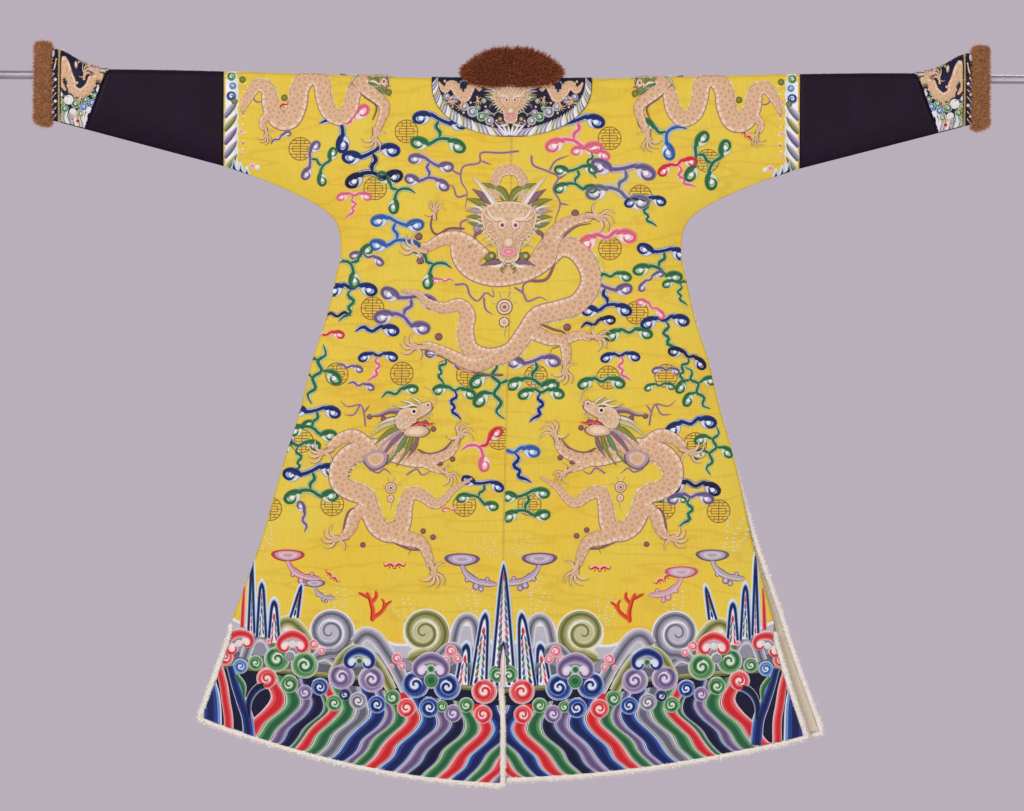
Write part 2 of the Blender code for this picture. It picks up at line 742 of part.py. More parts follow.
def vent_sizes(edge, top):
    return [max(vent_growth(z, top), VENT_TIP) for _, _, z in edge]


def panel_roll(rows, side, centre_vent, side_top):
    """A panel's edging: its centre vent, its hem and its side; rows run down to the hem."""
    vent = [row[0] for row in rows if row[0][2] < CENTRE_VENT_TOP - ROLL_START]
    edge = [row[-1] for row in rows if row[-1][2] < side_top]
    hem = list(rows[-1])
    places = []
    if centre_vent:
        places += roll_beside(vent, vent_sizes(vent, CENTRE_VENT_TOP), -side)
        places.append(roll_corner(hem[0], -side))
    else:
        hem[0] = (hem[0][0] + side * TUCKED_START, *hem[0][1:])
    places += roll_beside(hem, [1.0] * len(hem), -side)
    places.append(roll_corner(hem[-1], side))
    edge_top = side_top + ROLL_START if side_top < -1 else 0.0
    places += reversed(roll_beside(edge, vent_sizes(edge, edge_top), side))
    return places


def make_trims():
    for side, suffix in ((-1, "left"), (1, "right")):
        rows = body_rows(side)
        back = list(reversed(rows[: len(BACK_ROWS)]))
        places = panel_roll(back, side, side < 0, SIDE_VENT_TOP - ROLL_START)
        make_roll(f"trim_back_{suffix}", places, lambda x, y, z: WALL / 2)
        if side < 0:
            front = rows[-len(FRONT_ROWS):]
            places = panel_roll(front, side, True, SIDE_VENT_TOP - ROLL_START)
            make_roll("trim_front_left", places, lambda x, y, z: -WALL / 2)

    def clear_of_underlap(x, y, z):
        least = wall_depth(x - UNDERLAP_AHEAD, z, 1, 1) + TRIM_RADIUS + UNDERLAP_CLEAR
        return -WALL / 2 + max(least - y + WALL / 2, 0) * smoothstep((x - CLEAR_FROM) / CLEAR_OVER)

    make_roll("trim_overlap", panel_roll(overlap_rows(), 1, True, LAP_ROLL_TOP), clear_of_underlap)


# ================================================================ buttons
BUTTON_RADIUS = 0.0060
LOOP_RADIUS = 0.0016
LOOP_LENGTH = 0.050
LOOP_STEPS = 6
LOOP_INSET = 0.010  # the loop ends this far inside the overlap's edge
BUTTONS = (
    # z, layers of band under the loop
    (-0.082, 1),
    (-0.190, 1),
    (-0.330, 1),
    (-0.500, 0),
    (-0.660, 0),
)


def make_button(number, z, bands):
    """A ball button just past the end of its loop, which lies on the overlap."""
    lift = bands * BAND_LIFT + SEAM_GAP + LOOP_RADIUS
    end = lap_edge(z) - LOOP_INSET
    path = [lap_point(end - LOOP_LENGTH * (1 - n / LOOP_STEPS), z, lift) for n in range(LOOP_STEPS + 1)]
    tube_object(f"button_loop_{number}", path, LOOP_RADIUS, "dark_silk")
    base = lap_point(end + LOOP_RADIUS + BUTTON_RADIUS, z, lift)
    raised = base[1] + BUTTON_RADIUS - LOOP_RADIUS + SEAM_GAP
    bpy.ops.mesh.primitive_uv_sphere_add(segments=12, ring_count=8, radius=BUTTON_RADIUS,
                                         location=(base[0], raised, base[2]))
    ball = bpy.context.object
    ball.name = f"button_{number}"
    ball.data.shade_smooth()
    bpy.context.collection.objects.unlink(ball)
    add_to_model(ball, "brass")


# ================================================================ building
for old in list(bpy.data.objects):
    bpy.data.objects.remove(old, do_unlink=True)
model = bpy.data.collections.new("dragon_robe_on_rod")
bpy.context.scene.collection.children.link(model)

rod_places = [ROD_HALF_LENGTH * (n / ROD_STEPS - 1) for n in range(2 * ROD_STEPS + 1)]
tube_object("rod", [(x, 0, rod_height(x)) for x in rod_places], ROD_RADIUS, "steel", resolution=6)

make_body("body_left", -1)
make_body("body_right", 1)
make_overlap()
make_lapel()
make_lining_strip()
make_collar_band()
for suffix, side in (("left", -1), ("right", 1)):
    make_sleeve(suffix, side)
    make_cuff_fur(suffix, side)
    make_collar_fur(suffix, side)
make_trims()
for number, (z, bands) in enumerate(BUTTONS, 1):
    make_button(number, z, bands)
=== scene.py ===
import math

import bmesh
import bpy
import numpy as np
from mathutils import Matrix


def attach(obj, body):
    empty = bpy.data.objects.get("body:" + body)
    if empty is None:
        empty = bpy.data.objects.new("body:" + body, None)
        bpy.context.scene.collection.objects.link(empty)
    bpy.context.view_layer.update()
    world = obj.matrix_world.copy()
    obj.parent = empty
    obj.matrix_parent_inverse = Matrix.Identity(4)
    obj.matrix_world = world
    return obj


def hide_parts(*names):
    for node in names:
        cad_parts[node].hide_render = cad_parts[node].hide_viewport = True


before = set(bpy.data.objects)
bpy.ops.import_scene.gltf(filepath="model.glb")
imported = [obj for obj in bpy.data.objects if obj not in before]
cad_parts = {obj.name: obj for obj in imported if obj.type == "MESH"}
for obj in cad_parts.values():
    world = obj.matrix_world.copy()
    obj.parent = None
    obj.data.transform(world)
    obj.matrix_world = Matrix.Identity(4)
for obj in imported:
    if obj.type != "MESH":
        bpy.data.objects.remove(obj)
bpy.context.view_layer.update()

# ---------------------------------------------------------------- room
# A plain grey-lavender room: a small pale floor well below the hem, even light from the
# front and a little above, and a long lens square to the back of the robe.
ROOM_COLOUR = (0.487, 0.428, 0.492)
FLOOR_COLOUR = (0.62, 0.57, 0.65)
FLOOR_HEIGHT, FLOOR_RADIUS = -1.95, 1.6
VIEW_SIDE, VIEW_HEIGHT = 0.0035, -0.6570
VIEW_WIDTH = 2.0995
LENS_DISTANCE, LENS_REACH = 14.0, 60
SENSOR = 36.0
CAMERA_ROLL = -0.27
LAMP_AIM = -0.7  # height that the lamps are turned to

room = bpy.data.worlds.new("room")
bpy.context.scene.world = room
room.use_nodes = True
room.node_tree.nodes["Background"].inputs["Color"].default_value = (*ROOM_COLOUR, 1)
room.node_tree.nodes["Background"].inputs["Strength"].default_value = 1.0
bpy.context.scene.view_settings.view_transform = "Standard"

LAMPS = (
    # name, place, size, power
    ("front_left", (-3.2, -5.0, 1.2), 2.6, 134),
    ("front_right", (3.0, -5.2, 0.6), 2.6, 82),
    ("front_low", (0.4, -5.5, -1.6), 2.2, 25),
    ("back_fill", (0.5, 5.0, 1.0), 3.0, 130),
)
for name, place, size, power in LAMPS:
    light = bpy.data.lights.new(name, "AREA")
    light.size, light.energy = size, power
    lamp = bpy.data.objects.new(name, light)
    lamp.location = place
    aim = -lamp.location.copy()
    aim.z += LAMP_AIM
    lamp.rotation_euler = aim.to_track_quat("-Z", "Y").to_euler()
    bpy.context.scene.collection.objects.link(lamp)

lens = bpy.data.cameras.new("long_lens")
lens.sensor_width = SENSOR
lens.lens = SENSOR * LENS_DISTANCE / VIEW_WIDTH
lens.clip_end = LENS_REACH
camera = bpy.data.objects.new("camera", lens)
camera.location = (VIEW_SIDE, -LENS_DISTANCE, VIEW_HEIGHT)
camera.rotation_euler = (math.radians(90), math.radians(CAMERA_ROLL), 0)
bpy.context.scene.collection.objects.link(camera)
bpy.context.scene.camera = camera


class Socket:
    """One output of a material's nodes, on which sums can be written."""

    def __init__(self, tree, socket=None):
        self.tree, self.socket = tree, socket

    def node(self, kind, settings=None, values=None, out=0):
        """Any node: its settings first, then the values or links of its sockets."""
        made = self.tree.nodes.new(kind)
        for key, value in (settings or {}).items():
            setattr(made, key, value)
        for key, value in (values or {}).items():
            target = made.inputs[key]
            if isinstance(value, Socket):
                self.tree.links.new(value.socket, target)
            elif hasattr(target.default_value, "__len__") and not hasattr(value, "__len__"):
                target.default_value = (value,) * len(target.default_value)
            elif hasattr(value, "__len__") and len(value) < len(target.default_value):
                target.default_value = (*value, 1)
            else:
                target.default_value = value
        return Socket(self.tree, made.outputs[out])

    def sum(self, operation, first, second):
        return self.node("ShaderNodeMath", {"operation": operation}, {0: first, 1: second})

    def __add__(self, other):
        return self.sum("ADD", self, other)

    def __radd__(self, other):
        return self.sum("ADD", other, self)

    def __sub__(self, other):
        return self.sum("SUBTRACT", self, other)

    def __rsub__(self, other):
        return self.sum("SUBTRACT", other, self)

    def __mul__(self, other):
        return self.sum("MULTIPLY", self, other)

    def __rmul__(self, other):
        return self.sum("MULTIPLY", other, self)

    def mixed(self, first, second):
        """The first colour where this mask is 0 and the second where it is 1."""
        return self.node("ShaderNodeMix", {"data_type": "RGBA"}, {0: self, 6: first, 7: second}, 2)

    def tinted(self, first, second):
        """One colour multiplied by another."""
        settings = {"data_type": "RGBA", "blend_type": "MULTIPLY"}
        return self.node("ShaderNodeMix", settings, {0: 1.0, 6: first, 7: second}, 2)

    def ranged(self, low, high, to_low=0.0, to_high=1.0):
        """This value's range low to high, stretched and held to another range."""
        return self.node("ShaderNodeMapRange", None, {0: self, 1: low, 2: high, 3: to_low, 4: to_high})

    def noise(self, scale, detail=2.0, roughness=0.5, stretch=(1, 1, 1)):
        """Soft noise in metres of the object's own space, closer together along a stretched axis."""
        place = self.node("ShaderNodeTexCoord", out=3)
        place = self.node("ShaderNodeMapping", None, {"Vector": place, "Scale": stretch})
        values = {"Vector": place, "Scale": scale, "Detail": detail, "Roughness": roughness}
        return self.node("ShaderNodeTexNoise", None, values)

    def bump(self, height, distance, strength):
        return self.node("ShaderNodeBump", None, {"Height": height, "Distance": distance, "Strength": strength})


def new_finish(name, **fixed):
    """A material with the shader's fixed values; returns it and a start for its nodes."""
    finish = bpy.data.materials.new(name)
    finish.use_nodes = True
    shader = finish.node_tree.nodes["Principled BSDF"]
    for key, value in fixed.items():
        target = shader.inputs[key.replace("_", " ")]
        target.default_value = (*value, 1) if hasattr(value, "__len__") and len(value) == 3 else value
    return finish, Socket(finish.node_tree)


def feed(finish, **sockets):
    """Links what varies over the surface to the shader."""
    shader = finish.node_tree.nodes["Principled BSDF"]
    for key, value in sockets.items():
        finish.node_tree.links.new(value.socket, shader.inputs[key.replace("_", " ")])


def woven_finish(name, scale, stretch, tones, roughness, strength, **fixed):
    """A plain silk whose threads show as fine streaks of two tones."""
    finish, start = new_finish(name, **fixed)
    threads = start.noise(scale, 2.0, 0.5, stretch).ranged(0.3, 0.7)
    feed(finish, Base_Color=threads.mixed(*tones), Roughness=threads.ranged(0, 1, *roughness),
         Normal=start.bump(threads, 0.0003, strength))
    return finish


bpy.ops.mesh.primitive_circle_add(vertices=96, radius=FLOOR_RADIUS, fill_type="NGON",
                                  location=(0, 0, FLOOR_HEIGHT))
floor = bpy.context.object
floor.name = "floor"
paint, start = new_finish("floor_paint", Roughness=0.9)
scuffs = start.noise(3.0).ranged(0.3, 0.7)
feed(paint, Base_Color=scuffs.mixed(FLOOR_COLOUR, tuple(c * 0.96 for c in FLOOR_COLOUR)))
floor.data.materials.append(paint)

# ---------------------------------------------------------------- body halves
# Two halves of bright yellow silk satin, each cut in one from the back hem over the shoulder
# to the front hem with its upper sleeve, lined with cream silk, and sewn down the centre back.
SIDES = (("left", -1), ("right", 1))
ROD_RISE, ROD_RISE_AT = 0.016, 0.82
WALL = 0.003
CLOTH_WALL = 0.0018
SEAM_GAP = 0.0003
RIDGE, CUFF_DEPTH, CUFF_FLARE = 0.0126, 0.0165, 0.042
DEEPEN_FROM, DEEPEN_OVER, FLARE_FROM, FLARE_OVER = 0.80, 0.13, 0.84, 0.10  # along the sleeve
RIDGE_WAY = RIDGE * math.pi / 2  # from beside the rod to the top of the ridge over it
SEAM_DEPTH, VENT_DEPTH, FULL_DEPTH, EDGE_REACH = 0.0034, 0.0074, 0.0175, 0.060
SEAM_OPENS, SEAM_OPENING, FULL_DROP = -0.95, 0.13, 0.30
CENTRE_DRIFT, DRIFT_FROM, DRIFT_DROP = -0.012, -0.25, 0.75
VENT_LIFT, VENT_LAP, VENT_TUCK = 0.0070, 0.044, 0.002
LIFT_START, LIFT_DROP, LAP_START, LAP_DROP = 0.008, 0.06, 0.072, 0.04  # below the centre vent's top
NECK_HALF, NECK_BACK, NECK_FRONT, UNDERLAP_EDGE = 0.075, -0.003, -0.062, 0.042
NECK_LEAST = 0.0005  # the opening is closed where it is narrower
SIDE_VENT_TOP, CENTRE_VENT_TOP, VENT_START, VENT_TIP, VENT_OPENING = -1.095, -1.160, 0.040, 0.3, 0.012
BODY_SLEEVE_END = 0.590
TRIM_RADIUS, TRIM_GAP, TRIM_INSET = 0.0045, 0.0005, 0.0102
SLEEVE_BOTTOM_END, SLEEVE_BOTTOM_START = (0.945, -0.076), (0.590, -0.169)
OUTLINE = (
    (-0.169, 0.590), (-0.201, 0.498), (-0.236, 0.420), (-0.261, 0.379), (-0.287, 0.357),
    (-0.318, 0.350), (-0.355, 0.350), (-0.390, 0.358), (-0.478, 0.378), (-0.564, 0.406),
    (-0.667, 0.431), (-0.755, 0.458), (-0.853, 0.486), (-0.931, 0.508), (-1.029, 0.543),
    (-1.093, 0.566), (-1.138, 0.580), (-1.210, 0.606), (-1.310, 0.643), (-1.345, 0.655),
)
RIGHT_INSET, RIGHT_INSET_TOP, RIGHT_INSET_LOW = 0.036, -0.690, -1.330
HEMS = {"left": (-1.440, 0.137, 0.633), "right": (-1.429, 0.088, 0.615), "overlap": (-1.429, 0.096, 0.648)}
HEM_POWER, BEND_FROM, LOWEST_ROW, UNDERLAP_SHORT = 1.8, -0.90, -1.440, 0.020
FOLD_WAVER = 0.006
FOLDS = (
    # face, x, z, half_length, angle, half_width, height
    (-1, 0.290, -0.200, 0.085, -65, 0.026, -0.0034),
    (-1, 0.330, -0.255, 0.060, -70, 0.020, 0.0022),
    (-1, -0.300, -0.235, 0.075, 60, 0.028, -0.0028),
    (-1, -0.200, -1.050, 0.150, 4, 0.024, -0.0022),
    (-1, 0.150, -1.085, 0.170, -3, 0.026, -0.0020),
    (-1, 0.400, -0.900, 0.240, -76, 0.040, 0.0026),
    (-1, -0.420, -1.000, 0.230, 74, 0.042, 0.0024),
    (1, 0.290, -0.215, 0.090, -64, 0.028, -0.0030),
    (1, -0.300, -0.225, 0.080, 62, 0.028, -0.0030),
    (1, -0.330, -0.900, 0.260, 78, 0.042, 0.0026),
    (1, 0.300, -0.950, 0.240, -80, 0.042, 0.0022),
    # the cloth's finer creases
    (-1, 0.262, -0.168, 0.060, -62, 0.009, -0.0016),
    (-1, 0.300, -0.236, 0.050, -58, 0.008, 0.0014),
    (-1, -0.255, -0.200, 0.055, 58, 0.010, -0.0014),
    (-1, -0.330, -0.270, 0.045, 66, 0.008, 0.0012),
    (-1, 0.020, -1.062, 0.120, 3, 0.007, -0.0012),
    (-1, -0.150, -1.028, 0.110, -4, 0.008, -0.0013),
    (-1, -0.290, -1.075, 0.090, 6, 0.007, 0.0012),
    (-1, 0.240, -1.050, 0.120, 2, 0.008, -0.0013),
    (-1, 0.360, -1.090, 0.080, -6, 0.007, 0.0011),
    (-1, 0.090, -1.010, 0.100, -5, 0.009, 0.0010),
    (-1, -0.060, -0.600, 0.200, 84, 0.020, 0.0012),
    (-1, 0.210, -0.640, 0.240, -82, 0.024, 0.0013),
    (-1, -0.240, -0.520, 0.200, 80, 0.022, -0.0013),
    (-1, 0.500, -0.100, 0.070, -84, 0.012, -0.0010),
    (-1, -0.480, -0.110, 0.070, 82, 0.012, -0.0010),
    (1, 0.220, -0.560, 0.220, -84, 0.022, 0.0013),
    (1, -0.200, -0.620, 0.240, 82, 0.022, 0.0013),
    (1, -0.150, -1.060, 0.120, 4, 0.009, -0.0013),
)


def smoothstep(value):
    value = np.clip(value, 0, 1)
    return value * value * (3 - 2 * value)


def table_value(table, key):
    """The second column of a table at a key of its first one, along a smooth curve."""
    rows = np.array(sorted(table), float)
    keys, values = rows[:, 0], rows[:, 1]
    key = np.clip(key, keys[0], keys[-1])
    i = np.clip(np.searchsorted(keys, key, side="right") - 1, 0, len(keys) - 2)
    before, after = np.maximum(i - 1, 0), np.minimum(i + 2, len(keys) - 1)
    step = keys[i + 1] - keys[i]
    slope0 = (values[i + 1] - values[before]) / (keys[i + 1] - keys[before]) * step
    slope1 = (values[after] - values[i]) / (keys[after] - keys[i]) * step
    f = (key - keys[i]) / step
    start, end = (1 + 2 * f) * (1 - f) ** 2 * values[i], f * f * (3 - 2 * f) * values[i + 1]
    return start + f * (1 - f) ** 2 * slope0 + end + f * f * (f - 1) * slope1


def rod_height(x):
    """Height of the rod's centre line, which sags under the robe."""
    return ROD_RISE * np.sin(np.pi / 2 * np.minimum(np.abs(x) / ROD_RISE_AT, 1)) ** 2


def centre_x(z):
    """Where the centre seam hangs at a height."""
    return CENTRE_DRIFT * smoothstep((DRIFT_FROM - z) / DRIFT_DROP)


def half_width(z, side):
    """Distance of a side's outline from the middle, fur edging included."""
    inset = RIGHT_INSET * smoothstep((RIGHT_INSET_TOP - z) / (RIGHT_INSET_TOP - RIGHT_INSET_LOW))
    return table_value(OUTLINE, z) - (inset if side > 0 else 0)


def hem_height(x, piece):
    centre, rise, width = HEMS[piece]
    return centre + rise * (np.abs(x - CENTRE_DRIFT) / width) ** HEM_POWER


def edge_distance(x, z, side):
    """How far a point of the cloth lies inside the side seam and the sleeve's lower edge."""
    outline = [SLEEVE_BOTTOM_END, SLEEVE_BOTTOM_START]
    outline += [(float(half_width(row, side)), row) for row, _ in OUTLINE[1:]]
    nearest = np.ones(np.broadcast(x, z).shape)
    for (x0, z0), (x1, z1) in zip(outline, outline[1:]):
        dx, dz = x1 - x0, z1 - z0
        f = np.clip(((np.abs(x) - x0) * dx + (z - z0) * dz) / (dx * dx + dz * dz), 0, 1)
        nearest = np.minimum(nearest, np.hypot(np.abs(x) - x0 - f * dx, z - z0 - f * dz))
    return np.where((z < OUTLINE[4][0]) & (np.abs(x) > half_width(z, side)), 0, nearest)


def fold_height(x, z, face):
    """The soft folds and creases of one face of the robe, added together."""
    total = 0.0
    for on_face, fold_x, fold_z, length, angle, width, height in FOLDS:
        if on_face != face:
            continue
        along = math.cos(math.radians(angle)), math.sin(math.radians(angle))
        a = (x - fold_x) * along[0] + (z - fold_z) * along[1]
        b = (z - fold_z) * along[0] - (x - fold_x) * along[1]
        b = b + FOLD_WAVER * np.sin(a * 45 + fold_x * 30)
        swell = np.where(np.abs(a) < length, np.cos(np.pi / 2 * a / length) ** 2, 0)
        total = total + height * swell * np.exp(-((b / width) ** 2))
    return total


def vent_lifted(z):
    """How far the left half has come to lie over the right one at the centre-back vent."""
    return smoothstep((CENTRE_VENT_TOP - LIFT_START - z) / LIFT_DROP)


def vent_lapped(z):
    """How far its edge has moved across, once it is clear of the right half."""
    return smoothstep((CENTRE_VENT_TOP - LAP_START - z) / LAP_DROP)


def ridge_half(x):
    return RIDGE + (CUFF_DEPTH - RIDGE) * smoothstep((np.abs(x) - DEEPEN_FROM) / DEEPEN_OVER)


def cuff_flare(x):
    return CUFF_FLARE * smoothstep((np.abs(x) - FLARE_FROM) / FLARE_OVER)


def wall_depth(x, z, face, side):
    """Distance of the cloth's outer face from the middle plane, below the rod."""
    seam = SEAM_DEPTH + (VENT_DEPTH - SEAM_DEPTH) * smoothstep((SEAM_OPENS - z) / SEAM_OPENING)
    full = ridge_half(x) + (FULL_DEPTH - RIDGE) * smoothstep((rod_height(x) - z) / FULL_DROP)
    reach = np.sin(np.pi / 2 * np.minimum(edge_distance(x, z, side) / EDGE_REACH, 1))
    depth = seam + (full - seam) * reach + fold_height(x, z, face) * reach
    if face < 0 and side < 0:
        depth = depth + VENT_LIFT * smoothstep(1 - (centre_x(z) - x) / VENT_LAP) * vent_lifted(z)
    return depth


def on_cloth(x, v, face, side, lift=0.0):
    """Points of the cloth's outer face at places x along the rod and v up the cloth.

    v is the height up to the rod's middle, and past it the way over the rod to the other face.
    """
    x, v = np.broadcast_arrays(np.asarray(x, float), np.asarray(v, float))
    over = np.maximum(v - rod_height(x), 0)
    angle = over / RIDGE
    below = wall_depth(x, np.minimum(v, 0), face, side)
    y = np.where(over > 0, (ridge_half(x) + lift) * np.cos(angle), below + lift)
    z = np.where(over > 0, rod_height(x) + (RIDGE + cuff_flare(x) + lift) * np.sin(angle), v)
    return np.stack([x, face * y, z], axis=-1)


def mesh_object(name, points, faces, finish):
    """A mesh piece that rides on the robe, with its first material."""
    mesh = bpy.data.meshes.new(name)
    mesh.from_pydata(np.asarray(points).reshape(-1, 3).tolist(), [], np.asarray(faces).tolist())
    mesh.materials.append(finish)
    mesh.shade_smooth()
    piece = bpy.data.objects.new(name, mesh)
    bpy.context.scene.collection.objects.link(piece)
    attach(piece, "root")
    return piece


def grid_faces(rows, across, flip=False, closed=False):
    """Quads between rows of points; closed joins each row's two ends."""
    index = np.arange(rows * across).reshape(rows, across)
    after = np.roll(index, -1, axis=1) if closed else index[:, 1:]
    here = index if closed else index[:, :-1]
    quads = np.stack([here[:-1], after[:-1], after[1:], here[1:]], axis=-1).reshape(-1, 4)
    return quads[:, ::-1] if flip else quads


def add_lining(piece, lining, wall):
    """The cloth's own thickness inwards, with its lining on the inner face."""
    piece.data.materials.append(lining)
    solid = piece.modifiers.new("wall", "SOLIDIFY")
    solid.thickness, solid.offset = wall, -1
    solid.material_offset = 1
    return piece


def bent(z, x, piece):
    """A row's height at x, once the lower rows are bent to the hem of a piece."""
    hem = hem_height(x, "right") + UNDERLAP_SHORT if piece == "underlap" else hem_height(x, piece) + TRIM_INSET
    low = BEND_FROM + (hem - BEND_FROM) * (BEND_FROM - z) / (BEND_FROM - LOWEST_ROW)
    return np.where(z >= BEND_FROM, z, low)


def vent_growth(z, top):
    return smoothstep((top - z) / VENT_START)


def side_edge(z, side):
    """Outer edge of a back or front panel's cloth, inside its fur edging."""
    if z > OUTLINE[0][0]:
        return BODY_SLEEVE_END
    return float(half_width(z, side) - TRIM_INSET * vent_growth(z, SIDE_VENT_TOP))


def neck_edge(v, face, side):
    """Half-width of the neck opening along the way from back to front."""
    if v > 0:
        return NECK_HALF
    low, roundness = (NECK_BACK, 6) if face < 0 else (NECK_FRONT, 2)
    edge = NECK_HALF * math.sqrt(max(1 - (v / low) ** roundness, 0))
    return max(edge, UNDERLAP_EDGE) if side > 0 and face > 0 else edge


def inner_edge(v, face, side):
    """Distance from the middle to a body half's edge at the neck, seam or vent."""
    neck = neck_edge(v, face, side)
    if neck > NECK_LEAST:
        return side * neck
    seam = float(centre_x(v)) + side * SEAM_GAP / 2
    if side < 0:
        size = max(float(vent_growth(v, CENTRE_VENT_TOP)), VENT_TIP)
        inset = (2 * TRIM_RADIUS * size + TRIM_GAP) * float(smoothstep((CENTRE_VENT_TOP - v) / VENT_OPENING))
        return seam - inset + (TRIM_RADIUS * float(vent_lapped(v)) if face < 0 else 0)
    return seam - (VENT_TUCK * float(vent_lapped(v)) if face < 0 else 0)


ACROSS = 52
spread = np.linspace(0, 1, ACROSS)
spread = 0.5 * spread + 0.5 * (0.5 - 0.5 * np.cos(np.pi * spread))  # closer together at both edges


def heights(top, bottom, step):
    """Even heights from one to another, about a step apart."""
    return list(np.linspace(top, bottom, max(int(round(abs(top - bottom) / step)), 1) + 1))


LOWER_HEIGHTS = heights(-0.140, -0.360, 0.005)[:-1] + heights(-0.360, LOWEST_ROW, 0.011)
BACK_HEIGHTS = [-0.0005, -0.003, -0.008] + heights(-0.014, -0.140, 0.009)[:-1] + LOWER_HEIGHTS
FRONT_HEIGHTS = heights(-0.004, -0.0615, 0.003)[:-1] + [-0.0619] + heights(-0.066, -0.140, 0.009)[:-1]
FRONT_HEIGHTS += LOWER_HEIGHTS
RIDGE_ROWS = 10


def body_row(face, v, side):
    """One row of points across a body half below the rod, from its inner to its outer edge."""
    piece = "left" if side < 0 else ("right" if face < 0 else "underlap")
    outer = side_edge(v, side)
    for _ in range(4):
        outer = side_edge(float(bent(v, side * outer, piece)), side)
    inner = inner_edge(float(bent(v, CENTRE_DRIFT, piece)), face, side)
    if face > 0 and side > 0 and v < NECK_FRONT:
        inner = float(centre_x(v)) + UNDERLAP_EDGE
    x = side * (side * inner + (outer - side * inner) * spread)
    return on_cloth(x, bent(v, x, piece), face, side)


def ridge_row(share, inner, outer, side):
    """A row over the rod, share running from -1 at its back to 1 at its front."""
    x = side * (inner + (outer - inner) * spread)
    return on_cloth(x, rod_height(x) + RIDGE_WAY * (1 + share), -1, side)


def make_body(name, side):
    rows = [body_row(-1, v, side) for v in reversed(BACK_HEIGHTS)]
    rows += [ridge_row(s, NECK_HALF, BODY_SLEEVE_END, side) for s in np.linspace(-1, 1, RIDGE_ROWS)]
    rows += [body_row(1, v, side) for v in FRONT_HEIGHTS]
    piece = mesh_object(name, rows, grid_faces(len(rows), ACROSS, flip=side < 0), yellow_silk)
    return add_lining(piece, cream_lining, CLOTH_WALL)


yellow_silk, start = new_finish("yellow_silk", Sheen_Weight=0.05, Sheen_Roughness=0.4, Specular_IOR_Level=0.2)
patchy = start.noise(5.5, 3.0).ranged(0.35, 0.68)
ground = patchy.mixed((0.770, 0.605, 0.062), (0.790, 0.555, 0.044))
slubs = start.noise(420, 2.0, 0.6, (1, 1, 0.09)).ranged(0.30, 0.70)
ground = slubs.mixed(ground, start.tinted(ground, (0.93, 0.90, 0.86)))
pricks = start.noise(900, 1.0, 0.5, (1, 1, 1)).ranged(0.62, 0.72)
ground = (pricks * 0.35).mixed(ground, (0.88, 0.66, 0.12))
# fine crease lines: the bump sinks the silk along them, and painted shade darkens its colour there
level = start.noise(7, 2.0, 0.5, (0.5, 1, 2.6))
creases_and_painted_shade = ((level - 0.5) * (level - 0.5)).ranged(0.0, 0.0006, 1, 0)
ground = (creases_and_painted_shade * 0.45).mixed(ground, start.tinted(ground, (0.86, 0.78, 0.74)))
weave = start.noise(1500, 1.0, 0.5, (1, 1, 0.25)) * 0.4 + start.noise(36, 3.0) * 0.4 - creases_and_painted_shade * 0.9
feed(yellow_silk, Base_Color=ground, Roughness=slubs.ranged(0, 1, 0.46, 0.60),
     Normal=start.bump(weave, 0.0009, 0.5))

cream_lining = woven_finish("cream_lining", 700, (1, 1, 0.15), ((0.70, 0.62, 0.46), (0.62, 0.54, 0.39)),
                            (0.62, 0.74), 0.4, Sheen_Weight=0.2, Specular_IOR_Level=0.3)

for suffix, side in SIDES:
    make_body(f"body_{suffix}_cloth", side)
    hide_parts(f"body_{suffix}")

# ---------------------------------------------------------------- front overlap
# The flap of the same silk that is sewn to the left front at the centre and laps across to
# the right side, where it is buttoned. Its curved upper edge carries the lapel band.
LAP, LAP_REACH = 0.0052, 0.038
LAP_EDGE = (
    (-0.066, 0.016), (-0.074, 0.054), (-0.090, 0.100), (-0.125, 0.164),
    (-0.165, 0.220), (-0.225, 0.280), (-0.300, 0.325), (-0.338, 0.3395),
)
LAP_HEIGHTS = heights(-0.066, -0.090, 0.003)[:-1] + heights(-0.090, -0.338, 0.005)[:-1]
LAP_HEIGHTS += heights(-0.338, LOWEST_ROW, 0.011)


def lap_edge(z):
    """Outer edge of the overlap's cloth, inside its fur edging."""
    if z > LAP_EDGE[-1][0]:
        return float(table_value(LAP_EDGE, z))
    return float(table_value(OUTLINE, z)) - TRIM_INSET - SEAM_GAP


def on_lap(x, v, lift=0.0):
    """Points of the overlap's outer face, which lies over the underlap."""
    return on_cloth(x, v, 1, 1, LAP * smoothstep((x - centre_x(v)) / LAP_REACH) + lift)


def lap_row(v):
    outer = lap_edge(v)
    for _ in range(4):
        outer = lap_edge(float(bent(v, outer, "overlap")))
    vent_v = float(bent(v, CENTRE_DRIFT, "overlap"))
    vent = (2 * TRIM_RADIUS + TRIM_GAP) * float(vent_growth(vent_v, CENTRE_VENT_TOP))
    inner = float(centre_x(vent_v)) + SEAM_GAP / 2 + vent
    x = inner + (outer - inner) * spread
    return on_lap(x, bent(v, x, "overlap"))


rows = [lap_row(v) for v in LAP_HEIGHTS]
overlap = mesh_object("front_overlap_cloth", rows, grid_faces(len(rows), ACROSS), yellow_silk)
add_lining(overlap, cream_lining, CLOTH_WALL)
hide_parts("front_overlap")

# ---------------------------------------------------------------- lining strip
# The overlap's cream silk lining, seen from behind where the overlap stands out past the
# right back panel.
def cover(mesh, finish):
    """Gives a solid's mesh one finish in place of its own."""
    mesh.materials.clear()
    mesh.materials.append(finish)


cover(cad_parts["overlap_lining"].data, cream_lining)

# ---------------------------------------------------------------- lapel band
# A dark blue silk band, 40 mm wide, sewn on along the overlap's curved upper edge.
LAPEL_WIDTH, BAND_LIFT = 0.040, 0.0040
BAND_WALL = 0.0014
LAPEL_STEPS, SLOPE_REACH = 11, 0.004

navy_satin = woven_finish("navy_satin", 900, (1, 1, 0.12), ((0.006, 0.007, 0.028), (0.012, 0.014, 0.048)),
                          (0.42, 0.54), 0.5, Specular_IOR_Level=0.15)

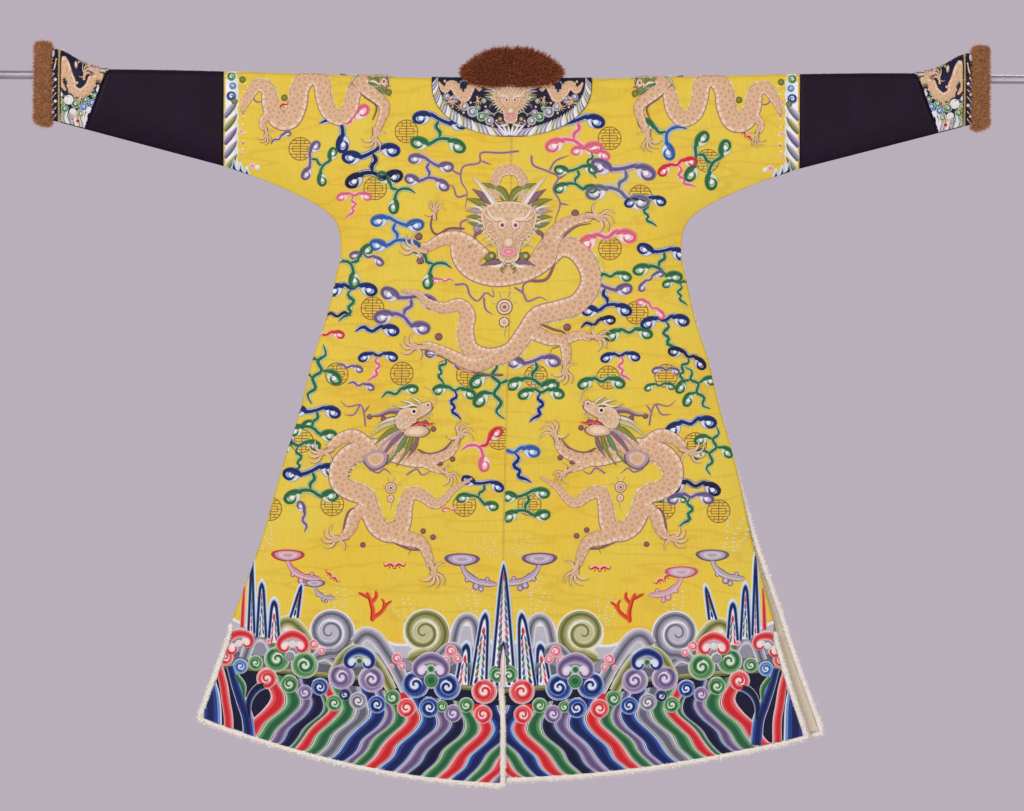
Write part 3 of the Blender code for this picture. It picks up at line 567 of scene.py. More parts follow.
rows = []
for v in LAP_HEIGHTS:
    if v < LAP_EDGE[-1][0] + 0.0001:
        break
    outer = lap_edge(v)
    slope = (lap_edge(v - SLOPE_REACH) - lap_edge(min(v + SLOPE_REACH, LAP_HEIGHTS[0]))) / (2 * SLOPE_REACH)
    width = min(LAPEL_WIDTH * math.hypot(1, slope), outer - SEAM_GAP * 2)
    rows.append(on_lap(outer - width * (1 - np.linspace(0, 1, LAPEL_STEPS)), v, BAND_LIFT))
lapel = mesh_object("lapel_band_cloth", rows, grid_faces(len(rows), LAPEL_STEPS), navy_satin)
add_lining(lapel, navy_satin, BAND_WALL)
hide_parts("lapel_band")

# ---------------------------------------------------------------- middle sleeves
# Plain lengths of blue-black satin let in between each upper sleeve and its cuff.
CUFF_SEAM_TOP, CUFF_SEAM_BOTTOM, CUFF_SEAM_GAP = 0.820, 0.875, 0.0009
RING_SIDE, RING_TOP = 16, 13
SEAM_LEAN_TOP = 0.25  # share of a seam's lean that lies over the rod


def sleeve_bottom(x):
    (x0, z0), (x1, z1) = SLEEVE_BOTTOM_START, SLEEVE_BOTTOM_END
    return z0 + (z1 - z0) * (np.abs(x) - x0) / (x1 - x0)


def sleeve_point(x, share, face, side, lift=0.0):
    """A point of a sleeve's outer face, at a share of the way down its front or back."""
    z = rod_height(x) + (sleeve_bottom(x) - lift - rod_height(x)) * share
    inside = np.minimum(np.maximum(z, sleeve_bottom(x)), -0.0001)
    point = on_cloth(x, inside, face, side, lift)
    point[..., 2] = z
    return point * (side, 1, 1)


def sleeve_ring(x_top, x_bottom, side, lift=0.0):
    """A closed ring of points round a sleeve, which may lean from its top to its bottom."""
    down = np.linspace(0, 1, RING_SIDE + 1)[1:]
    x_side = x_top + (x_bottom - x_top) * (SEAM_LEAN_TOP + (1 - SEAM_LEAN_TOP) * down)
    back, front = (sleeve_point(x_side, down, face, side, lift) for face in (-1, 1))
    over = np.linspace(-1, 1, RING_TOP)
    x_over = x_top + (x_bottom - x_top) * SEAM_LEAN_TOP * (1 - np.cos(over * np.pi / 2))
    angle = over * np.pi / 2
    half, rise = ridge_half(x_over) + lift, RIDGE + cuff_flare(x_over) + lift
    top = np.stack([side * x_over, half * np.sin(angle), rod_height(x_over) + rise * np.cos(angle)], axis=-1)
    return np.vstack([back[::-1], top, front])


def sleeve_length(name, node, side, start, end, wall, finish, stations):
    """A length of sleeve between two leaning seams, each as (x at top, x at bottom)."""
    rings = [sleeve_ring(*(a + (b - a) * f for a, b in zip(start, end)), side)
             for f in np.linspace(0, 1, stations + 1)]
    piece = mesh_object(name, rings, grid_faces(len(rings), len(rings[0]), flip=side > 0, closed=True), finish)
    add_lining(piece, finish, wall)
    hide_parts(node)
    return piece


dark_satin, start = new_finish("dark_satin", Specular_IOR_Level=0.1)
threads = start.noise(700, 2.0, 0.5, (0.12, 1, 1)).ranged(0.3, 0.7)
worn = start.noise(14, 3.0).ranged(0.4, 0.75)
tone = threads.mixed((0.0085, 0.0034, 0.0105), (0.0150, 0.0066, 0.0175))
feed(dark_satin, Base_Color=worn.mixed(tone, start.tinted(tone, (1.35, 1.25, 1.30))),
     Roughness=threads.ranged(0, 1, 0.36, 0.50), Normal=start.bump(threads, 0.0003, 0.5))

sleeves = {}
for suffix, side in SIDES:
    sleeves[suffix] = sleeve_length(
        f"middle_sleeve_{suffix}_cloth", f"middle_sleeve_{suffix}", side, (BODY_SLEEVE_END + SEAM_GAP,) * 2,
        (CUFF_SEAM_TOP, CUFF_SEAM_BOTTOM), CLOTH_WALL, dark_satin, 26)

# ---------------------------------------------------------------- cuffs
# Flaring horse-hoof cuffs of dark blue silk, a roll of gold-covered cord along each, and a
# narrow dark band before the fur.
CUFF_END, CUFF_BAND_START, CUFF_BAND_END = 0.9242, 0.9308, 0.9450
PIPING_X, PIPING_RADIUS, PIPING_STEPS, PIPING_SIDES = 0.9277, 0.0024, 260, 12

gold_cord, start = new_finish("gold_cord", Metallic=0.35, Specular_IOR_Level=0.6)
twist = start.noise(1400, 1.0).ranged(0.35, 0.65)
feed(gold_cord, Base_Color=twist.mixed((0.55, 0.36, 0.10), (0.80, 0.60, 0.24)),
     Roughness=twist.ranged(0, 1, 0.5, 0.34), Normal=start.bump(twist, 0.0008, 0.8))

cuffs, cuff_bands = {}, {}
for suffix, side in SIDES:
    seam = (CUFF_SEAM_TOP + CUFF_SEAM_GAP, CUFF_SEAM_BOTTOM + CUFF_SEAM_GAP)
    cuffs[suffix] = sleeve_length(
        f"cuff_{suffix}_cloth", f"cuff_{suffix}", side, seam, (CUFF_END,) * 2, CLOTH_WALL, navy_satin,
        14)
    cuff_bands[suffix] = sleeve_length(
        f"cuff_band_{suffix}_cloth", f"cuff_band_{suffix}", side, (CUFF_BAND_START,) * 2, (CUFF_BAND_END,) * 2,
        CLOTH_WALL, navy_satin, 3)
    ring = sleeve_ring(PIPING_X, PIPING_X, side, -WALL / 2)
    closed = np.vstack([ring, ring[:1]])
    run = np.concatenate([[0], np.cumsum(np.linalg.norm(np.diff(closed, axis=0), axis=1))])
    even = np.linspace(0, run[-1], PIPING_STEPS + 1)[:-1]
    path = np.stack([np.interp(even, run, closed[:, k]) for k in range(3)], axis=-1)
    along = np.roll(path, -1, axis=0) - np.roll(path, 1, axis=0)
    along /= np.linalg.norm(along, axis=1)[:, None]
    sideways = np.array([1.0, 0, 0])
    outward = np.cross(along, sideways)
    rows = []
    for n, (place, normal) in enumerate(zip(path, outward)):
        angle = np.linspace(0, 2 * np.pi, PIPING_SIDES, endpoint=False)
        rope = PIPING_RADIUS * (0.90 + 0.10 * np.cos(2 * (angle + n * 0.55)))
        around = np.cos(angle)[:, None] * sideways + np.sin(angle)[:, None] * normal
        rows.append(place + rope[:, None] * around)
    rows.append(rows[0])
    piping = mesh_object(f"cuff_cord_{suffix}", rows,
                         grid_faces(len(rows), PIPING_SIDES, closed=True), gold_cord)
    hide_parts(f"cuff_piping_{suffix}")

# ---------------------------------------------------------------- collar band
# A dark blue silk band round the neck: a deep U behind, and a shorter corner on the right
# front, where the lapel takes over.
BAND_HALF, BAND_BACK, BAND_FRONT, BAND_RIGHT_FRONT, BAND_LEAST = 0.164, -0.107, -0.130, -0.050, 0.008
BAND_STEPS, BAND_ROUNDNESS, COLLAR_LIFT = 15, 2.2, 0.0023


def band_curve(v, low):
    """Half-width of the band at a height, rounded in towards its lowest point."""
    return BAND_HALF * np.sqrt(np.clip(1 - (np.clip(v, low, 0) / low) ** BAND_ROUNDNESS, 0, 1))


def band_row(v, face, side, share=None):
    """A row of the collar band from the neck opening to its outer edge."""
    inner = neck_edge(v, face, -1)
    inner = inner if inner > NECK_LEAST else 0.0
    if face > 0 and v < 0:
        inner = max(inner, SEAM_GAP)
    low = BAND_BACK if face < 0 else (BAND_FRONT if side < 0 else BAND_RIGHT_FRONT)
    outer = max(band_curve(v, low), inner + BAND_LEAST)
    x = inner + (outer - inner) * np.linspace(0, 1, BAND_STEPS)
    if share is not None:
        v = rod_height(x) + RIDGE_WAY * (1 + share)
        return on_cloth(side * x, v, -1, side, BAND_WALL + WALL - CLOTH_WALL)
    return on_cloth(side * x, v, face, side, COLLAR_LIFT)


points, faces, count = [], [], 0
for side in (-1, 1):
    low = BAND_FRONT + 0.0015 if side < 0 else BAND_RIGHT_FRONT + 0.0008
    rows = [band_row(v, -1, side) for v in heights(-0.1060, -0.003, 0.005)]
    rows += [band_row(0.01, -1, side, share) for share in np.linspace(-1, 1, RIDGE_ROWS)]
    rows += [band_row(v, 1, side) for v in heights(-0.006, low, 0.005)]
    points.append(np.array(rows).reshape(-1, 3))
    faces.append(grid_faces(len(rows), BAND_STEPS, flip=side < 0) + count)
    count += len(points[-1])
collar = mesh_object("collar_band_cloth", np.vstack(points), np.vstack(faces), navy_satin)
weld = collar.modifiers.new("weld", "WELD")
weld.merge_threshold = 0.00002
add_lining(collar, navy_satin, BAND_WALL)
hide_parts("collar_band")

# ---------------------------------------------------------------- sea band
# The foot of the robe is worked in untwisted silk floss, in satin stitch: standing stripes of
# deep water, curled wave heads, rolling hills of surf and the three-peaked mountains, each
# colour stepped from dark through two middle tones to a white edge.
FLOSS = {
    # family: dark, middle, light, edge, as sRGB
    "navy": ((24, 34, 84), (40, 66, 142), (112, 152, 204), (226, 236, 240)),
    "ink": ((20, 22, 50), (34, 40, 84), (92, 112, 160), (214, 222, 232)),
    "red": ((206, 40, 44), (228, 84, 84), (242, 156, 156), (250, 232, 226)),
    "green": ((40, 100, 66), (76, 140, 84), (146, 186, 132), (226, 238, 214)),
    "plum": ((100, 86, 124), (140, 124, 160), (188, 176, 198), (232, 226, 236)),
    "grey": ((102, 104, 114), (148, 150, 160), (192, 193, 200), (238, 238, 234)),
    "olive": ((108, 112, 58), (150, 154, 92), (196, 198, 148), (238, 238, 212)),
    "pink": ((222, 96, 122), (238, 140, 152), (248, 190, 190), (252, 234, 228)),
    "blue": ((48, 90, 154), (84, 130, 190), (140, 180, 218), (224, 236, 240)),
    "white": ((226, 228, 224), (238, 238, 232), (246, 246, 240), (250, 250, 246)),
}
DARK, MIDDLE, LIGHT, EDGE = 0, 1, 2, 3
# the orders in which a band's tones step from one side to the other
FULL_STEPS = (EDGE, LIGHT, MIDDLE, DARK, MIDDLE, EDGE)
ROUND_STEPS = (EDGE, LIGHT, MIDDLE, DARK, MIDDLE, LIGHT, EDGE)
DEEP_STEPS = (EDGE, LIGHT, MIDDLE, DARK, DARK, MIDDLE, EDGE)
SHORT_STEPS = (EDGE, LIGHT, MIDDLE, DARK, EDGE)
LEAN_STEPS = (EDGE, LIGHT, MIDDLE, EDGE)
STITCH_SINK = -0.0002
LAYER = 0.00018
BROAD_TONE = 0.2  # a tone with more of the width is worked in two steps
STITCH_CLEAR, SEAM_CLEAR = 0.0004, 0.0006  # cloth left bare at an edge and at the centre seam


def linear(colour):
    """An sRGB colour of 0-255 as the linear one that a shader takes."""
    share = np.asarray(colour, float) / 255
    return np.where(share <= 0.04045, share / 12.92, ((share + 0.055) / 1.055) ** 2.4)


def floss(family, tone):
    return linear(FLOSS[family][tone])


def smooth_path(points, step, closed=False):
    """An even run of points along a smooth curve through the given ones."""
    points = np.asarray(points, float)
    if closed:
        padded = np.vstack([points[-1], points, points[0], points[1]])
    else:
        padded = np.vstack([2 * points[0] - points[1], points, 2 * points[-1] - points[-2]])
    t = np.linspace(0, 1, 12, endpoint=False)[:, None]
    run = []
    for a, b, c, d in zip(padded, padded[1:], padded[2:], padded[3:]):
        run.append(0.5 * (2 * b + (c - a) * t + (2 * a - 5 * b + 4 * c - d) * t**2
                          + (3 * b - a - 3 * c + d) * t**3))
    run = np.vstack(run + [padded[-2][None]])
    along = np.concatenate([[0], np.cumsum(np.hypot(*np.diff(run, axis=0).T))])
    count = max(int(round(along[-1] / step)), 3)
    even = np.linspace(0, along[-1], count + 1)
    return np.stack([np.interp(even, along, run[:, 0]), np.interp(even, along, run[:, 1])], axis=-1)


def stepped(family, shares=(0.09, 0.13, 0.2, 0.34, 0.16, 0.08), order=FULL_STEPS):
    """The tones of a stitched band from one side to the other, each with its share of the width."""
    return [(floss(family, tone), share) for tone, share in zip(order, shares)]


def ringed(family, *rings):
    """The tones of a round patch from its rim inwards, each with its share of the radius."""
    return [(share, floss(family, tone)) for share, tone in rings]


class Needlework:
    """Satin-stitched shapes, drawn flat and gathered before they are laid on the cloth."""

    def __init__(self, parts=None, matrix=None):
        self.parts = [] if parts is None else parts
        self.matrix = np.eye(3) if matrix is None else matrix
        self.size = math.sqrt(abs(np.linalg.det(self.matrix[:2, :2])))

    def placed(self, u, v, turn=0.0, size=1.0, flip=False):
        """The same work, drawn about another place, turned in degrees, sized or mirrored."""
        c, s = math.cos(math.radians(turn)), math.sin(math.radians(turn))
        local = np.array([[c, -s, u], [s, c, v], [0, 0, 1.0]])
        local[:, 0] *= -size if flip else size
        local[:, 1] *= size
        return Needlework(self.parts, self.matrix @ local)

    def halves(self, u=0.0):
        """The same work twice, as it is and mirrored."""
        return [self.placed(u, 0, flip=flip) for flip in (False, True)]

    def grid(self, xy, heights, colours, closed=False):
        rows, across = xy.shape[:2]
        flat = xy.reshape(-1, 2) @ self.matrix[:2, :2].T + self.matrix[:2, 2]
        faces = grid_faces(rows, across, closed=closed)
        self.parts.append((flat, np.asarray(heights, float).ravel(), faces, colours.reshape(-1, 3)))

    def bands(self, first, second, across, lift, dome):
        """Stitching between two edge curves with as many points each."""
        cuts, tones = [0.0], []
        for tone, share in across:
            pieces = 1 if share < BROAD_TONE else 2
            for _ in range(pieces):
                cuts.append(cuts[-1] + share / pieces)
                tones.append(tone)
        cuts = np.array(cuts) / cuts[-1]
        xy = first[:, None] * (1 - cuts)[None, :, None] + second[:, None] * cuts[None, :, None]
        swell = np.sqrt(np.clip(1 - (2 * cuts - 1) ** 2, 0, 1))
        heights = np.where(swell > 0.05, lift + dome * swell, STITCH_SINK)
        heights = np.repeat(heights[None], len(first), axis=0)
        colours = np.repeat(np.array(tones)[None], len(first) - 1, axis=0)
        self.grid(xy, heights, colours)

    def stroke(self, path, width, across, layer, dome=0.0007, step=0.006, ends=(1, 1)):
        """A stitched band along a smooth path, rounded or cut square at its ends."""
        centre = smooth_path(path, step / self.size)
        run = np.concatenate([[0], np.cumsum(np.hypot(*np.diff(centre, axis=0).T))])
        width = np.atleast_1d(width).astype(float)
        half = np.interp(run / run[-1], np.linspace(0, 1, len(width)), width) / 2
        for end, away in zip(ends, (run, run[-1] - run)):
            if end:
                reach = np.clip(away / np.maximum(half, 1e-6), 0, 1)
                half = half * np.sqrt(np.clip(1 - (1 - reach) ** 2, 0.03, 1))
        along = np.gradient(centre, axis=0)
        along /= np.maximum(np.hypot(*along.T), 1e-9)[:, None]
        out = np.stack([-along[:, 1], along[:, 0]], axis=-1) * half[:, None]
        self.bands(centre + out, centre - out, across, layer * LAYER, dome)

    def rings(self, outline, tones, layer, dome, centre=None, step=0.006, smooth=True):
        """A patch inside a closed outline, its tones in rings from the outside in."""
        if smooth:
            outline = smooth_path(outline, step / self.size, closed=True)[:-1]
        outline = np.asarray(outline, float)
        centre = outline.mean(axis=0) if centre is None else np.asarray(centre, float)
        shares = np.array([share for share, _ in tones] + [0.004])
        xy = centre + (outline[None] - centre) * shares[:, None, None]
        heights = layer * LAYER + dome * np.sqrt(np.clip(1 - shares**2, 0, 1))
        heights[0] = STITCH_SINK
        heights = np.repeat(heights[:, None], len(outline), axis=1)
        colours = np.repeat(np.array([tone for _, tone in tones])[:, None], len(outline), axis=1)
        self.grid(xy, heights, colours, closed=True)

    def disc(self, centre, radius, tones, layer, dome=0.0008, count=18):
        angle = np.linspace(0, 2 * np.pi, count, endpoint=False)
        outline = np.asarray(centre) + radius * np.stack([np.cos(angle), np.sin(angle)], axis=-1)
        self.rings(outline, tones, layer, dome, centre, smooth=False)

    def spiral(self, centre, radius, turns, width, across, layer, start, inward=0.12, hand=1, tail=()):
        """A curl that winds in to its centre; tail points lead up to its outer end."""
        t = np.linspace(0, 1, int(14 * turns) + 2)
        angle = math.radians(start) + hand * 2 * np.pi * turns * t
        reach = radius * (1 - (1 - inward) * t)
        curl = np.asarray(centre) + np.stack([np.cos(angle), np.sin(angle)], axis=-1) * reach[:, None]
        self.stroke([*tail, *curl], width, across, layer, step=0.004)


floss_silk, start = new_finish("embroidered_floss", Specular_IOR_Level=0.15)
thread = start.node("ShaderNodeAttribute", {"attribute_name": "thread"})
strands = start.noise(1300, 1.0, 0.5, (1, 1, 0.16)).ranged(0.28, 0.72)
uneven = start.noise(60, 2.0).ranged(0.3, 0.7)
shaded = strands.mixed(start.tinted(thread, (0.86, 0.85, 0.88)), start.tinted(thread, (1.05, 1.04, 1.02)))
shaded = uneven.mixed(start.tinted(shaded, (0.94, 0.93, 0.94)), shaded)
feed(floss_silk, Base_Color=shaded, Roughness=strands.ranged(0, 1, 0.50, 0.38),
     Normal=start.bump(strands, 0.0005, 0.7))


SAME_PLACE, NO_AREA = 1e-6, 1e-9


def drawn(draw, u=0.0, v=0.0, **how):
    """Needlework with one design on it, placed, sized or mirrored."""
    work = Needlework()
    draw(work.placed(u, v, **how))
    return work


def lay(name, work, face, side=0, limits=None, lap=False, raised=0.0, reach=1.0):
    """Lays gathered stitching on one face of the robe as one piece of floss.

    limits gives, for the laid points, the places that the cloth's own edges allow. Stitching
    that would have to move further than reach to stay inside them is left out.
    """
    flat = np.vstack([part[0] for part in work.parts])
    heights = np.concatenate([part[1] for part in work.parts]) + raised
    offsets = np.cumsum([0] + [len(part[0]) for part in work.parts])
    faces = np.vstack([part[2] + offset for part, offset in zip(work.parts, offsets)])
    colours = np.vstack([part[3] for part in work.parts])
    v = flat[:, 1]
    x = flat[:, 0] + centre_x(v)
    if limits:
        kept_x, kept_v = limits(x, v)
        moved = (np.abs(kept_x - x) > SAME_PLACE) | (np.abs(kept_v - v) > SAME_PLACE)
        far = np.hypot(kept_x - x, kept_v - v) > reach
        whole = ~(moved[faces].all(axis=1) | far[faces].any(axis=1))
        faces, colours = faces[whole], colours[whole]
        x, v = kept_x, kept_v
    left_of_seam = x < centre_x(v)
    points = np.zeros((len(x), 3))
    for one in (side,) if side else (-1, 1):
        chosen = np.ones(len(x), bool) if side else left_of_seam == (one < 0)
        if lap and one > 0:
            points[chosen] = on_lap(x[chosen], v[chosen], heights[chosen])
        else:
            points[chosen] = on_cloth(x[chosen], v[chosen], face, one, heights[chosen])
    corners = points[faces]
    normal = np.cross(corners[:, 2] - corners[:, 0], corners[:, 3] - corners[:, 1])
    area = np.linalg.norm(normal, axis=1)
    faces, colours, normal = faces[area > NO_AREA], colours[area > NO_AREA], normal[area > NO_AREA]
    centre = points[faces].mean(axis=1)
    above = np.maximum(centre[:, 2] - rod_height(centre[:, 0]), 0)
    outward = np.stack([np.zeros(len(faces)), centre[:, 1], above], axis=-1)
    turned = (normal * outward).sum(axis=1) < 0
    faces[turned] = faces[turned][:, ::-1]
    used, faces = np.unique(faces, return_inverse=True)
    points, faces = points[used], faces.reshape(-1, 4)
    piece = mesh_object(name, points, faces, floss_silk)
    layer = piece.data.color_attributes.new("thread", "FLOAT_COLOR", "CORNER")
    tones = np.ones((len(faces), 4, 4))
    tones[..., :3] = colours[:, None]
    layer.data.foreach_set("color", tones.ravel())
    return piece


SQUARE = 0.0004
SEAM_COLUMN = 1530
BAND_TOP = -0.9535
WAVE = (
    # down from the head, out of line
    (-40, -10), (0, 0), (30, 26), (70, 50), (105, 50), (140, 24), (175, -18), (205, -58),
    (240, -84), (275, -92), (310, -132), (350, -184), (390, -201), (430, -224), (480, -282),
)
STRIPES = (
    # family, column at the head
    ("red", 290), ("green", 372), ("plum", 448), ("ink", 500), ("green", 570), ("red", 592), ("green", 652),
    ("grey", 725), ("navy", 798), ("plum", 885), ("green", 925), ("red", 985), ("navy", 1060),
    ("plum", 1150), ("ink", 1212), ("green", 1290), ("red", 1360), ("navy", 1430), ("green", 1512),
    ("red", 1580), ("plum", 1650), ("navy", 1710), ("green", 1800), ("red", 1860), ("navy", 1930),
)
STRIPES_END = 2010
SIDE_STRIPES = (
    # family, path, widths
    ("green", ((-96, 470), (-82, 700), (-74, 800), (-66, 980)), (70, 90, 100, 110)),
    ("navy", ((-20, 560), (20, 680), (40, 780), (40, 980)), (60, 80, 100, 110)),
    ("red", ((70, 590), (98, 690), (112, 780), (126, 870), (126, 980)), (44, 46, 48, 50, 50)),
    ("navy", ((134, 600), (164, 700), (196, 790), (224, 870), (236, 990)), (44, 52, 60, 66, 70)),
    ("ink", ((345, 680), (268, 716), (230, 780), (232, 860)), (44, 46, 36, 20)),
    ("green", ((164, 646), (200, 700), (204, 768)), (30, 34, 12)),
)
SURF_TOP = (
    # column, row of the surf's upper edge
    (-40, 300), (120, 330), (210, 370), (330, 400), (420, 390), (540, 440), (760, 470), (860, 430), (980, 470),
    (1230, 470), (1272, 350), (1396, 350), (1440, 440), (1540, 470),
)


HILLS_BEHIND = (
    # points of the arch, width, family, layer
    (((205, -560), (240, -470), (285, -440), (330, -470), (370, -560)), 60, "grey", 5),
    (((345, -500), (385, -390), (440, -370), (500, -420), (560, -530)), 62, "olive", 5),
    (((1270, -500), (1300, -380), (1345, -345), (1385, -380), (1400, -500)), 56, "grey", 5),
    (((520, -610), (560, -560), (610, -540), (660, -560), (720, -630)), 64, "grey", 8),
)
HILLS_BEFORE = (
    # points of the arch, width, family, layer
    (((770, -480), (820, -432), (875, -450), (930, -520), (985, -610), (1040, -720)), 76, "grey", 13),
    (((660, -640), (700, -560), (760, -510), (830, -530), (900, -610), (960, -720)), 58, "olive", 16),
    (((1180, -560), (1240, -500), (1290, -500), (1340, -560), (1380, -660)), 54, "grey", 13),
)
WHORLS = (
    # centre, radius, family, turns, widths, tail
    ((641, -421), 108, "grey", 2.2, (80, 70, 56, 36, 16), ((560, -560), (600, -535), (650, -524))),
    ((1124, -421), 112, "olive", 2.1, (86, 74, 60, 38, 16), ((1042, -560), (1082, -545), (1122, -531))),
)


def wave_edge(column):
    """An edge between two stripes, from their heads down past the hem."""
    down = np.linspace(WAVE[0][0], WAVE[-1][0], 40)
    head = 690 + (min(column, 1450) - 430) * 0.14
    across = np.interp(down, *zip(*WAVE)) + 7 * np.sin(down / 17 + column / 30) * smoothstep(down / 120)
    smooth = np.convolve(np.pad(across, 2, mode="edge"), np.ones(5) / 5, mode="valid")
    return np.stack([column + smooth, -(head + down)], axis=-1)


def curl_head(work, x, y, radius, family, layer, hand, start):
    """A comma-shaped curl of surf: a stepped band that winds in on itself."""
    work.disc((x, y), radius, ringed(family, (1.0, EDGE), (0.9, LIGHT), (0.78, MIDDLE), (0.5, EDGE)), layer,
              0.0006)
    across = stepped(family, (0.13, 0.12, 0.18, 0.30, 0.14, 0.13))
    width = [radius * share for share in (0.66, 0.56, 0.46, 0.34, 0.20)]
    work.spiral((x, y), radius * 0.66, 1.45, width, across, layer + 4, start=start, hand=hand, inward=0.06)


def billow(work, x, y, size, family, layer, core="white", turn=0.0):
    """A billow head: a broad cap whose two ends curl in round a small heart."""
    head = work.placed(x, y, turn, size)
    half = [
        (-0.14, -0.12), (-0.17, -0.22), (-0.27, -0.28), (-0.40, -0.24), (-0.47, -0.09), (-0.41, 0.09),
        (-0.22, 0.23),
    ]
    cap = half + [(0.0, 0.29)] + [(-a, b) for a, b in half[::-1]]
    widths = [0.08, 0.12, 0.16, 0.21, 0.26, 0.30, 0.34, 0.36]
    for across in (-0.26, 0.26):
        head.disc((across, -0.13), 0.2, ringed(family, (1.0, EDGE), (0.6, EDGE)), layer, 0.0003)
    head.stroke(cap, widths + widths[::-1][1:],
                stepped(family, (0.10, 0.09, 0.16, 0.30, 0.15, 0.10, 0.10), ROUND_STEPS),
                layer + 3, 0.0014, step=0.005, ends=(0, 0))
    head.disc((0.0, -0.06), 0.13, ringed(core, (1.0, EDGE), (0.74, MIDDLE), (0.4, DARK)), layer + 8)


def hill(work, points, width, family, layer):
    """A rolling hill of surf: an arch of stepped tones with a white rim."""
    work.stroke(points, width, stepped(family, (0.08, 0.15, 0.17, 0.22, 0.15, 0.13, 0.10), ROUND_STEPS), layer,
                dome=0.0010, ends=(0, 0))


def blade(work, axis, base, height, half, marks, layer, lean=0.0, tip=0.62):
    """A tall narrow peak: outlines of even width one in another, and stacked chevrons within."""
    outlines = [
        (0, ("blue", EDGE)), (6, ("blue", LIGHT)), (9, ("navy", DARK)), (20, ("blue", LIGHT)),
        (23, ("white", EDGE)),
    ]
    outlines = [(offset, tone) for offset, tone in outlines if offset < half * 0.8] + [(half * 0.97, None)]
    rise = np.concatenate([np.linspace(0, 0.84, 8), 1 - 0.16 * (1 - np.linspace(0.12, 1, 9)) ** 1.9])
    rows = []
    for offset, _ in outlines:
        across = np.maximum(half * (1 - (1 - tip) * rise) - offset, 0.4) * (1 - rise**14) ** 0.72
        left = np.stack([-across, rise * (height - 2.4 * offset)], axis=-1)
        rows.append(np.vstack([left, (left * (-1, 1))[::-1][1:]]))
    xy = np.array(rows)
    xy[..., 0] += axis + lean * xy[..., 1]
    xy[..., 1] += base
    steps = np.linspace(0, 1, len(rows))
    heights = np.repeat((layer * LAYER + 0.0009 * np.sqrt(1 - (1 - steps) ** 2))[:, None], xy.shape[1], axis=1)
    heights[0] = STITCH_SINK
    colours = np.repeat(np.array([floss(*tone) for _, tone in outlines[:-1]])[:, None], xy.shape[1] - 1, axis=1)
    work.grid(xy, heights, colours)
    rows = int((height - 70) / 36)
    for n in range(rows if marks else 0):
        y = 4 + 36 * n
        reach = half * (1 - (1 - tip) * y / height) - 21
        if reach < 3:
            break
        # pairs of leaves lean together up the peak, under one red flame at its head
        pairs = ((0, marks[n % len(marks)]),)
        if reach > 12 and n < rows - 1:
            pairs = ((-1, marks[n % len(marks)]), (1, marks[(n + 2) % len(marks)]))
        for hand, family in pairs:
            wide, foot = (reach * 0.78, 0.52 * hand * reach) if hand else (reach * 1.5, 0)
            leaf = [(axis + lean * (y + up) + foot * share, base + y + up + 5 * hand)
                    for up, share in ((0, 1.1), (16, 1.0), (30, 0.8), (44, 0.3))]
            family = "red" if n == rows - 1 else family
            rim = (floss("white", EDGE), 0.17)
            work.stroke(leaf, [wide * 0.7, wide, wide * 0.8, 0.6],
                        [rim, (floss(family, MIDDLE), 0.26), (floss(family, DARK), 0.4), rim],
                        layer + 7 + 0.4 * n, 0.0004, ends=(1, 0))


WARM_MARKS = ("navy", "olive", "green", "blue", "grey", "green", "plum", "red")
COOL_MARKS = ("red", "pink", "plum", "grey", "green", "blue", "grey")
PALE_MARKS = ("grey", "pink", "grey", "plum", "grey", "green", "grey", "plum")


